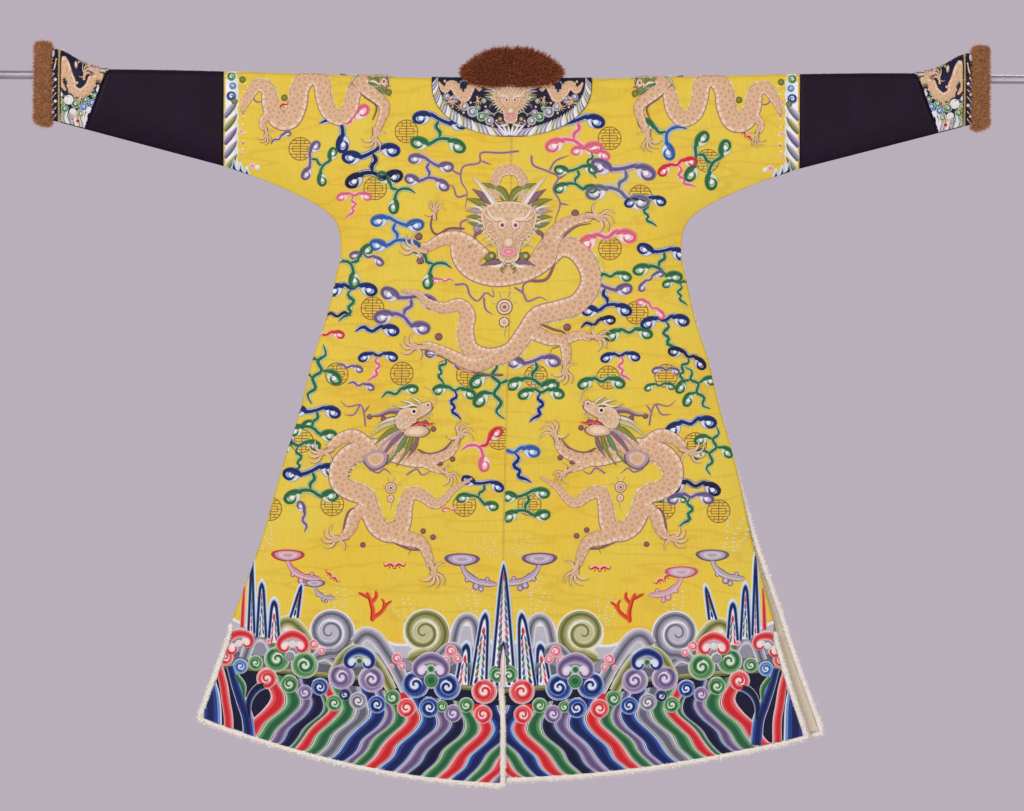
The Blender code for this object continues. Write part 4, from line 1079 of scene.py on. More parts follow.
def sea_half(work):
    """One half of the sea band, charted in squares from its outer end to the centre seam."""
    sea = work.placed(-SEAM_COLUMN * SQUARE, BAND_TOP, size=SQUARE)
    # pale surf above and deep water below, under everything else
    columns = np.linspace(-120, 1545, 112)
    top = -np.interp(columns, *zip(*SURF_TOP))
    shore = np.stack([columns, -620 - 0.09 * columns], axis=-1)
    pale = [(floss("grey", EDGE), 0.1), (floss("grey", LIGHT), 0.12)]
    pale += [(floss("grey", tone), 0.13) for tone in (LIGHT, MIDDLE, MIDDLE, DARK, DARK, MIDDLE)]
    sea.bands(np.stack([columns, top], axis=-1), shore, pale, LAYER, 0.0002)
    deep = [(floss("olive", tone), 0.03) for tone in (LIGHT, MIDDLE, DARK)] + [(floss("ink", DARK), 0.1)] * 14
    sea.bands(shore + (0, 55), np.stack([columns, np.full(len(columns), -1190.0)], axis=-1), deep,
              2 * LAYER, 0.0002)
    # hills of surf and the two great spirals
    for arch in HILLS_BEHIND:
        hill(sea, *arch)
    for centre, radius, family, *_ in WHORLS:
        sea.disc(centre, radius, ringed(family, (1.0, EDGE), (0.8, EDGE), (0.5, LIGHT)), 7, count=30)
    for centre, radius, family, turns, widths, tail in WHORLS:
        across = stepped(family, (0.14, 0.14, 0.2, 0.22, 0.16, 0.14))
        sea.spiral(centre, radius, turns, widths, across, 12, start=-75, inward=0.06, tail=tail)
    for arch in HILLS_BEFORE:
        hill(sea, *arch)
    # stripes of deep water
    names, heads = zip(*STRIPES)
    heads = (*heads, STRIPES_END)
    for n, family in enumerate(names):
        across = stepped(family, (0.08, 0.10, 0.18, 0.24, 0.16, 0.14, 0.08), DEEP_STEPS)
        sea.bands(wave_edge(heads[n]), wave_edge(heads[n + 1]), across, 9 * LAYER, 0.0012)
    for n, (family, path, widths) in enumerate(SIDE_STRIPES):
        sea.stroke([(x, -y) for x, y in path], widths, stepped(family), 13 + n, 0.0012, ends=(0, 0))
    # the curled heads of the stripes
    for x, y, radius, family, hand in (
        (185, 600, 40, "blue", -1), (262, 582, 40, "green", -1),
        (105, 554, 46, "red", -1), (321, 662, 56, "red", 1), (436, 690, 50, "green", 1),
        (516, 732, 42, "plum", 1),
        (592, 704, 48, "navy", -1), (666, 786, 46, "green", -1), (788, 774, 50, "grey", -1),
        (884, 792, 50, "navy", -1), (964, 756, 44, "green", 1), (1036, 808, 54, "red", 1),
        (1152, 806, 56, "navy", -1), (1274, 836, 50, "plum", 1), (1342, 794, 42, "green", 1),
        (1428, 840, 52, "red", 1), (1216, 800, 34, "green", -1), (720, 742, 34, "ink", 1),
    ):
        curl_head(sea, x, -y, radius, family, 20, hand, start=-120 if hand > 0 else -60)
    # billows
    billow(sea, 172, -476, 150, "red", layer=26, turn=24)
    for x, y, radius, hand in ((372, 562, 68, 1), (514, 592, 72, -1)):
        curl_head(sea, x, -y, radius, "green", 24, hand, start=100)
    billow(sea, 452, -478, 152, "red", layer=28)
    sea.disc((438, -548), 32, ringed("grey", (1.0, EDGE), (0.75, MIDDLE)), 38)
    for x, y, radius, hand in ((702, 652, 70, 1), (858, 664, 72, -1)):
        curl_head(sea, x, -y, radius, "plum", 24, hand, start=100)
    billow(sea, 794, -560, 150, "navy", core="green", layer=28)
    for x, y, radius, hand in ((1080, 690, 74, 1), (1244, 700, 72, -1)):
        curl_head(sea, x, -y, radius, "navy", 24, hand, start=100)
    billow(sea, 1160, -598, 172, "plum", core="green", layer=28)
    sea.disc((1162, -668), 44, ringed("green", (1.0, EDGE), (0.8, MIDDLE), (0.4, DARK)), 40)
    curl_head(sea, 1434, -722, 68, "red", 28, 1, start=100)
    curl_head(sea, 1502, -630, 50, "green", 28, -1, start=100)
    for x, y, radius, hand in (
        (1262, 516, 34, 1), (1296, 556, 26, -1), (1236, 566, 24, -1), (560, 486, 28, 1), (600, 520, 22, -1),
        (986, 556, 30, 1), (1010, 596, 22, -1),
    ):
        curl_head(sea, x, -y, radius, "pink", 21, hand, start=60)
    for x, y, radius in ((530, 516, 16), (960, 596, 16), (1410, 500, 18), (860, 600, 14), (330, 470, 18)):
        sea.disc((x, -y), radius, ringed("pink", (1.0, EDGE), (0.8, LIGHT), (0.45, MIDDLE)), 20)


def peaks_at_sides(work):
    sea = work.placed(-SEAM_COLUMN * SQUARE, BAND_TOP, size=SQUARE)
    sea.stroke([(203, -190), (199, -260), (194, -400)], [10, 24, 28], stepped("red"), 8, ends=(0, 0))
    blade(sea, 240, -430, 440, 30, COOL_MARKS, 9, tip=0.5)
    blade(sea, 292, -450, 300, 38, WARM_MARKS, 12)
    blade(sea, 356, -480, 240, 42, COOL_MARKS, 15)
    blade(sea, 458, -350, 190, 33, WARM_MARKS, 8, lean=0.22, tip=0.5)


def peak_at_centre(work):
    sea = work.placed(0, BAND_TOP, size=SQUARE)
    for half in sea.halves():
        blade(half, -208, -690, 232, 48, COOL_MARKS, 14, lean=0.09)
        blade(half, -126, -690, 390, 54, WARM_MARKS, 18, lean=0.09, tip=0.56)
        curl_head(half, -30, -640, 40, "green", 36, 1, start=80)
    blade(sea, 0, -700, 650, 76, PALE_MARKS, 24, tip=0.30)
    blade(sea, 0, -690, 245, 46, (), 30, tip=0.4)
    sea.stroke([(0, -690), (0, -600), (0, -540), (0, -490)], [44, 44, 34, 2],
               [(floss("white", EDGE), 0.14), (floss("pink", LIGHT), 0.26), (floss("pink", MIDDLE), 0.34),
                (floss("white", EDGE), 0.26)], 38, 0.0006, ends=(0, 0))
    # the pale cord of the vent runs up over the foot of the peak
    cord = [(floss("white", EDGE) * (0.97, 0.93, 0.86), 1)]
    sea.stroke([(0, -500), (0, -600), (0, -700)], [10, 20, 21], cord * 3, 50, 0.0022, ends=(1, 0))


def sea_work(side):
    """One panel's sea with its side peaks, as they lie on the left or mirrored to the right."""
    work = drawn(sea_half, flip=side > 0)
    peaks_at_sides(work.placed(0, 0, flip=side > 0))
    return work


def panel_limits(face, side):
    """What the hem, the side edge and the centre vent leave for stitching on a panel."""
    piece = "left" if side < 0 else ("right" if face < 0 else "overlap")
    edge_table = np.array([[z, side_edge(z, side if face < 0 else -1)] for z in np.linspace(-0.02, -1.45, 287)])

    def limits(x, v):
        v = np.maximum(v, hem_height(x, piece) + TRIM_INSET + STITCH_CLEAR)
        outer = np.interp(-v, -edge_table[:, 0], edge_table[:, 1]) - STITCH_CLEAR
        vent = (2 * TRIM_RADIUS + TRIM_GAP) * smoothstep((CENTRE_VENT_TOP - v) / VENT_OPENING)
        if side < 0:
            inner = centre_x(v) - SEAM_CLEAR - vent + (TRIM_RADIUS * vent_lapped(v) if face < 0 else 0)
            return np.clip(x, -outer, inner), v
        inner = centre_x(v) + SEAM_CLEAR + (vent if face > 0 else -VENT_TUCK * vent_lapped(v))
        return np.clip(x, inner, outer), v

    return limits


stitched = {"left": [], "right": []}
for suffix, side in SIDES:
    stitched[suffix].append(lay(f"sea_band_back_{suffix}", sea_work(side), -1, side, panel_limits(-1, side)))
stitched["left"].append(lay("centre_peak_back", drawn(peak_at_centre), -1))

# ---------------------------------------------------------------- dragons
# Five-clawed dragons in couched gold-brown thread, scale upon scale, outlined in mauve: one
# facing forward on the back and one on the front, two walking below each, one on each shoulder.
CELL = 0.00205
UMBER = linear((146, 104, 108))
GOLD_DARK, GOLD, GOLD_LIGHT, GOLD_EDGE = (linear(c) for c in (
    (208, 162, 126), (219, 179, 138), (230, 196, 154), (242, 219, 182)))
RIM, RIB = linear((180, 138, 118)), linear((222, 184, 160))
OLIVE, OLIVE_PALE = linear((138, 140, 66)), linear((202, 200, 148))
LEAF, MAUVE, MAUVE_PALE = linear((112, 142, 96)), linear((138, 104, 122)), linear((184, 160, 172))
BONE, INK, ROSE, SCARLET, GUM = (linear(c) for c in (
    (244, 236, 212), (24, 18, 24), (236, 128, 136), (214, 52, 48), (240, 176, 176)))


def bead(work, x, y, radius, layer=6):
    """A small round of gold."""
    work.disc((x, y), radius, [(1.0, GOLD_DARK), (0.6, GOLD_EDGE)], layer, 0.0007, count=8)


def knots(work, places, radius, colour, share=0.6, layer=15, dome=0.0010, count=10):
    """Rounds of one colour with a darker rim."""
    for place in places:
        work.disc(place, radius, [(1.0, colour * 0.7), (share, colour)], layer, dome, count=count)


def shadow_line(work, path, width, layer, dome=0.0008):
    """The dark line under a limb."""
    work.stroke(path, width, [(UMBER, 1)], layer, dome)


def scaled_body(work, path, width, layer, step=0.0043, columns=12, fins=True):
    """A dragon's body: rows of small scales with a ribbed belly, a mauve outline and a fringe."""
    centre = smooth_path(path, step / work.size)
    run = np.concatenate([[0], np.cumsum(np.hypot(*np.diff(centre, axis=0).T))])
    half = np.interp(run / run[-1], np.linspace(0, 1, len(width)), width) / 2
    along = np.gradient(centre, axis=0)
    along /= np.hypot(*along.T)[:, None]
    normal = np.stack([-along[:, 1], along[:, 0]], axis=-1)
    cuts = np.concatenate([[-1, -0.86], np.linspace(-0.78, 0.84, columns - 3), [0.92, 1.0]])
    xy = centre[:, None] + normal[:, None] * half[:, None, None] * cuts[None, :, None]
    swell = np.sqrt(np.clip(1 - cuts**2, 0, 1))
    rough = np.zeros((len(centre), len(cuts)))
    rough[::2, 1:-1:2] += 0.00025
    rough[1::2, 2:-1:2] += 0.00025
    heights = layer * LAYER + 0.0019 * swell[None] + rough
    heights[:, [0, -1]] = STITCH_SINK
    i, j = np.meshgrid(np.arange(len(centre) - 1), np.arange(len(cuts) - 1), indexing="ij")
    colours = np.where(((i + j) % 2)[..., None] == 0, GOLD_LIGHT, GOLD)
    colours = np.where(((i % 2 == 0) & (j % 4 == (i // 2 % 2) * 2))[..., None], GOLD_DARK, colours)
    belly = np.where((i % 3 == 0)[..., None], RIB, GOLD_EDGE)
    colours = np.where(((j == 1) | (j == 2))[..., None], belly, colours)
    colours = np.where(((j == 0) | (j == len(cuts) - 2))[..., None], RIM, colours)
    work.grid(xy, heights, colours)
    if fins:
        saw = np.where(np.arange(len(centre)) % 3 == 0, 1.28, 1.03)
        rim = centre + normal * half[:, None] * 0.94
        tips = centre + normal * (half * saw)[:, None] - along * (half * 0.18)[:, None]
        heights = np.stack([np.full(len(rim), layer * LAYER), np.full(len(rim), 0.0001)], axis=-1)
        colours = np.where((np.arange(len(rim) - 1) % 6 < 3)[:, None], OLIVE_PALE, GOLD_EDGE)
        work.grid(np.stack([rim, tips], axis=1), heights, colours)


def limb(work, path, width, layer, spur=False):
    """A leg: a short length of body, outlined, with a few flame-like hairs at its joint."""
    scaled_body(work, path, width, layer, columns=9, fins=False)
    if spur:
        x, y = path[len(path) // 2]
        for turn in (150, 180, 215):
            flick = work.placed(x, y, turn)
            flick.stroke([(2, 0), (7, 2), (13, 0), (17, 3)], [2.2, 1.6, 0.4], [(OLIVE, 1)], layer - 3,
                         0.0004, ends=(0, 0))


def claw(work, x, y, turn, size, layer=14):
    """A paw with five hooked talons, spread like a wheel."""
    paw = work.placed(x, y, turn, size)
    for n, angle in enumerate((-70, -32, 4, 40, 130)):
        talon = paw.placed(0, 0, angle)
        talon.stroke([(1, 0), (5, 1.6), (9.5, 1.4), (13, -1.4), (14.5, -4.6)], [3.6, 3.4, 3.0, 1.8, 0.4],
                     [(UMBER, 0.2), (GOLD_LIGHT, 0.4), (GOLD_EDGE, 0.4)], layer + 0.5 * n, 0.0011,
                     step=0.004, ends=(1, 0))
    paw.disc((0, 0), 4.2, [(1.0, UMBER), (0.86, GOLD_LIGHT), (0.5, GOLD)], layer + 4, 0.0014)
    paw.stroke([(-13, 0), (-7, 0.4), (-1, 0)], [7.4, 6.8, 6.0],
               [(UMBER, 0.16), (GOLD_LIGHT, 0.34), (GOLD, 0.34), (UMBER, 0.16)], layer + 3, 0.0014, ends=(0, 1))


def tufts(work, spikes, layer):
    """Tapering locks of mane or beard, each as (points, width, colour)."""
    for n, (points, width, colour) in enumerate(spikes):
        work.stroke(points, [width * 0.6, width, width * 0.7, 0.4],
                    [(colour * 0.75, 0.2), (colour, 0.6), (colour * 0.75, 0.2)],
                    layer + 0.3 * n, 0.0009, step=0.005, ends=(1, 0))


def scroll_flames(work, paths, width=2.4):
    """Thin scrolling flames about the dragon's shoulders."""
    for path in paths:
        work.stroke(path, [width, width * 0.9, width * 0.8, 0.5],
                    [(MAUVE_PALE, 0.25), (MAUVE, 0.5), (MAUVE_PALE, 0.25)], 4, 0.0005, step=0.004)


def tooth(work, path, width, layer):
    work.stroke(path, width, [(BONE, 1)], layer, 0.0006, step=0.003, ends=(0, 0))


def dragon_face(work, layer):
    """A dragon's head seen from the front, in cells about the middle of its eyes."""
    outline = [
        (-8, 24), (-17, 22), (-25, 18), (-29, 11), (-28, 3), (-25, -5), (-21, -11), (-15, -16), (-12, -22),
        (-11, -30), (-6, -38),
    ]
    for half in work.halves():
        horn = [(GOLD_EDGE, 0.16), (BONE, 0.5), (MAUVE_PALE, 0.14), (BONE, 0.2)]
        half.stroke([(-13, 18), (-21, 30), (-29, 40), (-36, 48)], [7.0, 6.4, 4.6, 1.0], horn, layer - 5,
                    0.0014, ends=(0, 0))
        tufts(half, [
            ([(-18, 20), (-28, 30), (-37, 36)], 8.0, MAUVE), ([(-20, 17), (-31, 23), (-43, 26)], 8.0, OLIVE),
            ([(-24, 10), (-34, 14), (-44, 14)], 6.0, MAUVE_PALE), ([(-26, 3), (-34, 8), (-43, 8)], 6.0, OLIVE),
            ([(-26, -2), (-34, 0), (-41, 3)], 5.0, LEAF), ([(-26, -6), (-33, -9), (-34, -15)], 5.0, MAUVE),
            ([(-1, 22), (-9, 34), (-27, 42)], 11.0, OLIVE), ([(-3, 24), (-10, 32), (-22, 37)], 4.0, OLIVE_PALE),
            ([(-22, 13), (-32, 18), (-43, 19)], 3.0, BONE), ([(-25, 0), (-33, 4), (-42, 5)], 2.6, BONE),
        ], layer - 12)
        tufts(half, [([(-4, -38), (-16, -37), (-28, -41)], 6.5, MAUVE),
                     ([(-2, -36), (-9, -41), (-20, -42)], 5.0, BONE),
                     ([(-2, -40), (-7, -45), (-4, -49)], 5.0, OLIVE)], layer - 6)
        half.disc((-17, -31), 4.6, [(1.0, OLIVE * 0.6), (0.7, OLIVE), (0.35, OLIVE_PALE)], layer - 2,
                  0.0014, count=12)
        # a spiked edge along brow and cheek
        for n, (x, y) in enumerate(smooth_path(outline[1:8], 4.4)):
            c, s = np.array([x, y + 2.0]) / math.hypot(x, y + 2.0)
            spike = [(x - 1.5 * c, y - 1.5 * s), (x + 1.8 * c, y + 1.8 * s - 0.8),
                     (x + 4.6 * c, y + 4.6 * s - 2.2)]
            half.stroke(spike, [3.6, 2.4, 0.5], [(GOLD_EDGE if n % 2 else BONE, 1)],
                        layer + 2 + 0.2 * n, 0.0006, step=0.003, ends=(0, 0))
    whole = outline + [(-x, y) for x, y in outline[::-1]]
    skin = [(1.0, RIM), (0.965, GOLD_EDGE)]
    skin += zip((0.9, 0.8, 0.68, 0.55, 0.4, 0.25), (GOLD, GOLD_LIGHT) * 3)
    work.rings(whole, skin, layer, 0.0030, centre=(0, -4), step=0.0045)
    # scaled brow: small rounds in rows
    for row, (y, reach) in enumerate(((19, 2), (14.5, 3), (10, 3))):
        for n in range(-reach, reach + 1):
            x = (n + 0.5 * (row % 2)) * 6.2
            if abs(x) < 24:
                work.disc((x, y - 0.06 * abs(x)), 2.9, [(1.0, RIM), (0.82, GOLD_EDGE), (0.55, GOLD_LIGHT)],
                          layer + 14 + row * 0.4, 0.0010, count=10)
    for half in work.halves():
        # flaming brows, curled cheeks, eyes, nostrils and whiskers
        for n, (path, wide) in enumerate((
            ([(-2, 1.5), (-7, 5.5), (-14, 5.5), (-20, 11), (-23, 20)], 5.0),
            ([(-9, 4), (-14, 9), (-15, 16)], 3.4),
            ([(-14, 4), (-20, 6), (-27, 13)], 3.4),
        )):
            half.stroke(path, [wide * 0.7, wide, wide * 0.8, 0.6],
                        [(RIM, 0.2), (GOLD_EDGE, 0.5), (OLIVE_PALE if n else BONE, 0.3)],
                        layer + 18 - n, 0.0012, step=0.004)
        for x, y, radius, start in (
            (-18, -3.5, 5.2, 80), (-12.5, -11, 4.2, 200), (-6.2, -15.5, 3.6, 100), (-21.5, 3.5, 3.4, 30),
        ):
            half.spiral((x, y), radius, 1.35, (radius * 0.6, radius * 0.5, radius * 0.4, 1.0),
                        [(RIM, 0.24), (GOLD_EDGE, 0.5), (RIM, 0.26)], layer + 17, start=start, hand=1)
        half.disc((-6.6, -0.4), 4.6, [(1.0, UMBER), (0.88, BONE), (0.5, ROSE), (0.26, INK)], layer + 19,
                  0.0018, count=16)
        half.disc((-3.6, -19.5), 2.4, [(1.0, RIM), (0.8, GOLD_EDGE), (0.4, UMBER)], layer + 21,
                  0.0012, count=12)
        half.stroke([(-5, -21), (-13, -22), (-19, -18), (-27, -23), (-35, -19), (-41, -23)],
                    [1.9, 1.7, 1.4, 1.1, 0.5], [(BONE, 1)], layer + 22, 0.0005)
        half.stroke([(-8, -25), (-10, -31), (-7, -37)], [2.2, 2.6, 1.2], [(BONE, 0.7), (RIM, 0.3)], layer + 16,
                    0.0008, step=0.003)
        half.stroke([(-3, -33), (-6, -39), (-3, -44)], [2.4, 2.6, 0.6], [(OLIVE_PALE, 0.5), (BONE, 0.5)],
                    layer + 17, 0.0006, step=0.003)
    for n, y in enumerate((-3, -7, -11)):
        work.stroke([(-3.4 - n, y - 1), (0, y + 1.2), (3.4 + n, y - 1)], [1.0, 2.4, 1.0],
                    [(RIM, 0.3), (GOLD_EDGE, 0.7)], layer + 18 + 0.3 * n, 0.0010, step=0.003)
    work.disc((0, -17.5), 6.0, [(1.0, RIM), (0.86, GOLD_LIGHT), (0.55, GOLD_EDGE)], layer + 20,
              0.0024, count=16)
    work.rings([(-9, -24), (-4, -22.5), (4, -22.5), (9, -24), (8.6, -28), (5, -31.5), (-5, -31.5), (-8.6, -28)],
               [(1.0, RIM), (0.9, GUM), (0.55, ROSE), (0.3, GUM)], layer + 17, 0.0012, step=0.0035)
    for x in (-6.4, -2.2, 2.2, 6.4):
        tooth(work, [(x, -22.8), (x, -24.6), (x * 1.02, -26.4)], [2.4, 1.8, 0.5], layer + 24)


def pearl(work, x, y, radius, layer=8):
    """The flaming pearl that the dragons chase."""
    work.disc((x, y), radius, [
        (1.0, UMBER), (0.84, GOLD_EDGE), (0.6, UMBER), (0.48, GOLD_LIGHT), (0.22, UMBER),
    ], layer, 0.0014)
    work.disc((x, y - radius * 1.8), radius * 0.66,
              [(1.0, UMBER), (0.78, GOLD_EDGE), (0.4, GOLD)], layer, 0.0012)
    for turn, reach in ((70, 1.9), (110, 1.9), (20, 1.5), (160, 1.5), (-90, 3.6)):
        c, s = math.cos(math.radians(turn)), math.sin(math.radians(turn))
        work.stroke([(x + radius * 1.1 * c, y + radius * 1.1 * s),
                     (x + radius * 1.5 * c + 1, y + radius * 1.5 * s),
                     (x + radius * reach * c, y + radius * reach * s)], [2.4, 1.8, 0.4],
                    [(UMBER, 0.3), (GOLD_EDGE, 0.7)], layer - 1, 0.0006, step=0.004)


def forward_dragon(work):
    """The great dragon between the shoulders, coiled round its pearl, in cells about its middle."""
    scroll_flames(work, [
        [(12, 108), (-6, 106), (-26, 106), (-28, 96), (-44, 92), (-46, 78), (-40, 66), (-42, 50)],
        [(-40, 64), (-50, 62), (-54, 72), (-60, 74)], [(-46, 84), (-54, 88), (-56, 96)], [(-26, 98), (-16, 94)],
        [(24, 104), (26, 94), (40, 88), (51, 82), (46, 70), (53, 56), (48, 38), (50, 30)],
        [(42, 88), (48, 98), (62, 104)], [(51, 80), (60, 86)], [(52, 56), (62, 54)],
        [(-52, -26), (-40, -26), (-36, -36), (-28, -42), (-20, -34), (-12, -38), (-14, -28)],
        [(-22, -38), (-20, -50), (-12, -56)],
        [(8, -28), (17, -34), (22, -42), (34, -38), (42, -42)], [(17, -34), (18, -25), (30, -20)],
        [(-38, 40), (-46, 36), (-46, 26)],
    ], width=2.8)
    scaled_body(work, [(-9, 60), (-12, 74), (-8, 85), (2, 89), (12, 85), (16, 74), (13, 60)],
                [9, 10, 11, 10, 9], 5)
    limb(work, [(26, -12), (38, 8), (48, 26), (64, 38), (84, 42)], [20, 20, 16, 12, 8], 6)
    shadow_line(work, [(24, -22), (40, -20), (48, -4), (54, 18), (68, 32), (84, 36)], [3.4, 3.4, 3, 2.6, 1], 16)
    claw(work, 92, 42, -8, 1.05)
    limb(work, [(-24, 0), (-44, 18), (-62, 20), (-78, 12), (-86, 12)], [22, 20, 16, 12, 9], 8)
    shadow_line(work, [(-42, 30), (-58, 30), (-70, 24), (-76, 32), (-74, 46)], [3, 3, 2.6, 2.4, 1], 16)
    claw(work, -92, 10, 168, 1.0)
    claw(work, -72, 48, 88, 0.72)
    scaled_body(work, [
        (-50, 16), (-46, 0), (-34, -12), (-14, -18), (8, -16), (26, -10), (40, 0), (54, 12), (70, 8),
        (82, -8), (84, -26), (72, -44), (52, -51), (32, -57), (20, -74), (6, -92), (-16, -98), (-34, -90),
        (-39, -72), (-37, -56), (-46, -46), (-62, -49), (-78, -44), (-88, -35), (-104, -32),
    ], [15, 19, 21, 20, 21, 22, 22, 21, 20, 19, 19, 17, 14, 10, 3], 7)
    limb(work, [(26, -72), (44, -80), (58, -82), (62, -96), (60, -106)], [17, 14, 12, 11, 8], 10, spur=True)
    shadow_line(work, [(34, -64), (48, -70), (60, -74), (64, -86)], [3, 3, 2.4, 1], 18)
    claw(work, 61, -112, -84, 0.9)
    limb(work, [(60, -80), (74, -76), (86, -78)], [12, 10, 8], 9)
    claw(work, 93, -78, -4, 0.9)
    limb(work, [(-3, -93), (-16, -102), (-34, -106), (-54, -96), (-72, -88), (-82, -87)],
         [9, 15, 16, 13, 10, 8], 9, spur=True)
    shadow_line(work, [(0, -116), (-22, -115), (-44, -108), (-62, -98), (-78, -95)], [3, 3, 3, 2.4, 1], 18)
    claw(work, -90, -88, 180, 0.95)
    pearl(work, -1, -48, 8.5)
    for places, radius, colour in (
        (((-18, 2), (16, 2)), 5, OLIVE), (((-30, 30),), 4, MAUVE_PALE),
        (((-88, 22), (-86, -2), (68, 46), (62, -68), (-66, -78)), 4, UMBER),
    ):
        knots(work, places, radius, colour, 0.7, 17, 0.0012, 12)
    dragon_face(work.placed(2, 34), 22)


def profile_head(work, layer):
    """A dragon's head from the side, its jaws open, in cells about its cheek."""
    tufts(work, [
        ([(-6, -3), (-16, -6), (-28, -14)], 5.0, OLIVE), ([(-4, -7), (-14, -14), (-24, -24)], 5.0, MAUVE),
        ([(-8, 1), (-20, -1), (-32, -8)], 4.0, OLIVE_PALE), ([(-2, -9), (-10, -20), (-20, -30)], 5.0, LEAF),
        ([(-5, -5), (-15, -10), (-27, -19)], 3.0, MAUVE_PALE), ([(2, -10), (-4, -22), (-13, -32)], 4.4, OLIVE),
        ([(6, -11), (2, -20), (-5, -28)], 3.6, MAUVE),
    ], layer - 7)
    work.stroke([(-2, 8), (-13, 10), (-22, 8), (-31, 9)], [4.4, 4.6, 3.0, 0.6],
                [(MAUVE, 0.6), (MAUVE_PALE, 0.4)], layer - 4, 0.0012)
    work.stroke([(-3, 4), (-14, 4), (-24, 1)], [3.6, 3.6, 0.8], [(BONE, 0.7), (UMBER, 0.3)], layer - 4, 0.0012)
    work.rings([(-3, -4), (4, -3), (11, -4), (16, -9), (10, -13), (1, -12), (-6, -9)],
               [(1.0, UMBER), (0.86, GOLD_LIGHT), (0.5, GOLD_EDGE)], layer, 0.0018)
    work.stroke([(3, -3), (9, -2), (15, -4), (19, -3)], [2.4, 3.0, 2.4, 0.8], [(SCARLET, 0.6), (ROSE, 0.4)],
                layer + 7, 0.0010)
    work.rings([
        (-11, 0), (-8, 8), (-1, 12), (6, 10), (12, 13), (18, 13), (20, 8), (15, 4), (7, 1), (1, -4),
        (-7, -6),
    ], [(1.0, UMBER), (0.92, GOLD_EDGE), (0.76, GOLD_LIGHT), (0.5, GOLD)], layer + 2, 0.0026, centre=(1, 4))
    # rows of scales over cheek and neck, a curled cheek, teeth, and a flaming brow
    for row, line in enumerate((
        ((-8.5, 4), (-5.5, 6.6), (-2.2, 8.4)), ((-8, 0.2), (-5, 2.6), (-1.6, 4.2)), ((-5.4, -2.6), (-2, -0.4)),
    )):
        for x, y in line:
            work.disc((x, y), 2.1, [(1.0, RIM), (0.8, GOLD_EDGE), (0.5, GOLD_LIGHT)], layer + 13 + row,
                      0.0009, count=8)
    work.spiral((3.4, 0.6), 3.6, 1.4, (2.2, 1.9, 1.5, 0.9), [(RIM, 0.24), (GOLD_EDGE, 0.52), (RIM, 0.24)],
                layer + 15, start=200, hand=-1)
    for x, y in ((8.5, 0.6), (11.5, 2.0), (14.5, 3.2), (17, 5.2)):
        tooth(work, [(x, y), (x + 0.5, y - 1.4), (x + 0.2, y - 3.0)], [1.8, 1.3, 0.4], layer + 15)
    for x, y in ((6, -5.2), (9.5, -5.4), (13, -6.4)):
        tooth(work, [(x, y - 0.6), (x + 0.3, y + 1.0), (x + 0.1, y + 2.2)], [1.6, 1.2, 0.4], layer + 9)
    work.disc((16, 10.8), 3.2, [(1.0, RIM), (0.8, GOLD_EDGE), (0.35, UMBER)], layer + 15, 0.0014, count=12)
    work.disc((5, 7.4), 3.2, [(1.0, RIM), (0.84, BONE), (0.40, INK)], layer + 15, 0.0014, count=14)
    for n, path in enumerate(([(10, 10.5), (4, 12.6), (-3, 11.6), (-10, 15)], [(7, 11.5), (2, 15), (-4, 17)],
                              [(11, 11), (9, 15), (4, 18)])):
        work.stroke(path, [1.4, 2.8, 2.2, 0.5], [(RIM, 0.2), (BONE, 0.4), (OLIVE_PALE, 0.4)],
                    layer + 16 + 0.3 * n, 0.0008)
    work.stroke([(16, 8), (22, 12), (21, 20), (15, 25)], [1.5, 1.3, 0.5], [(GOLD_EDGE, 1)], layer + 6, 0.0004)


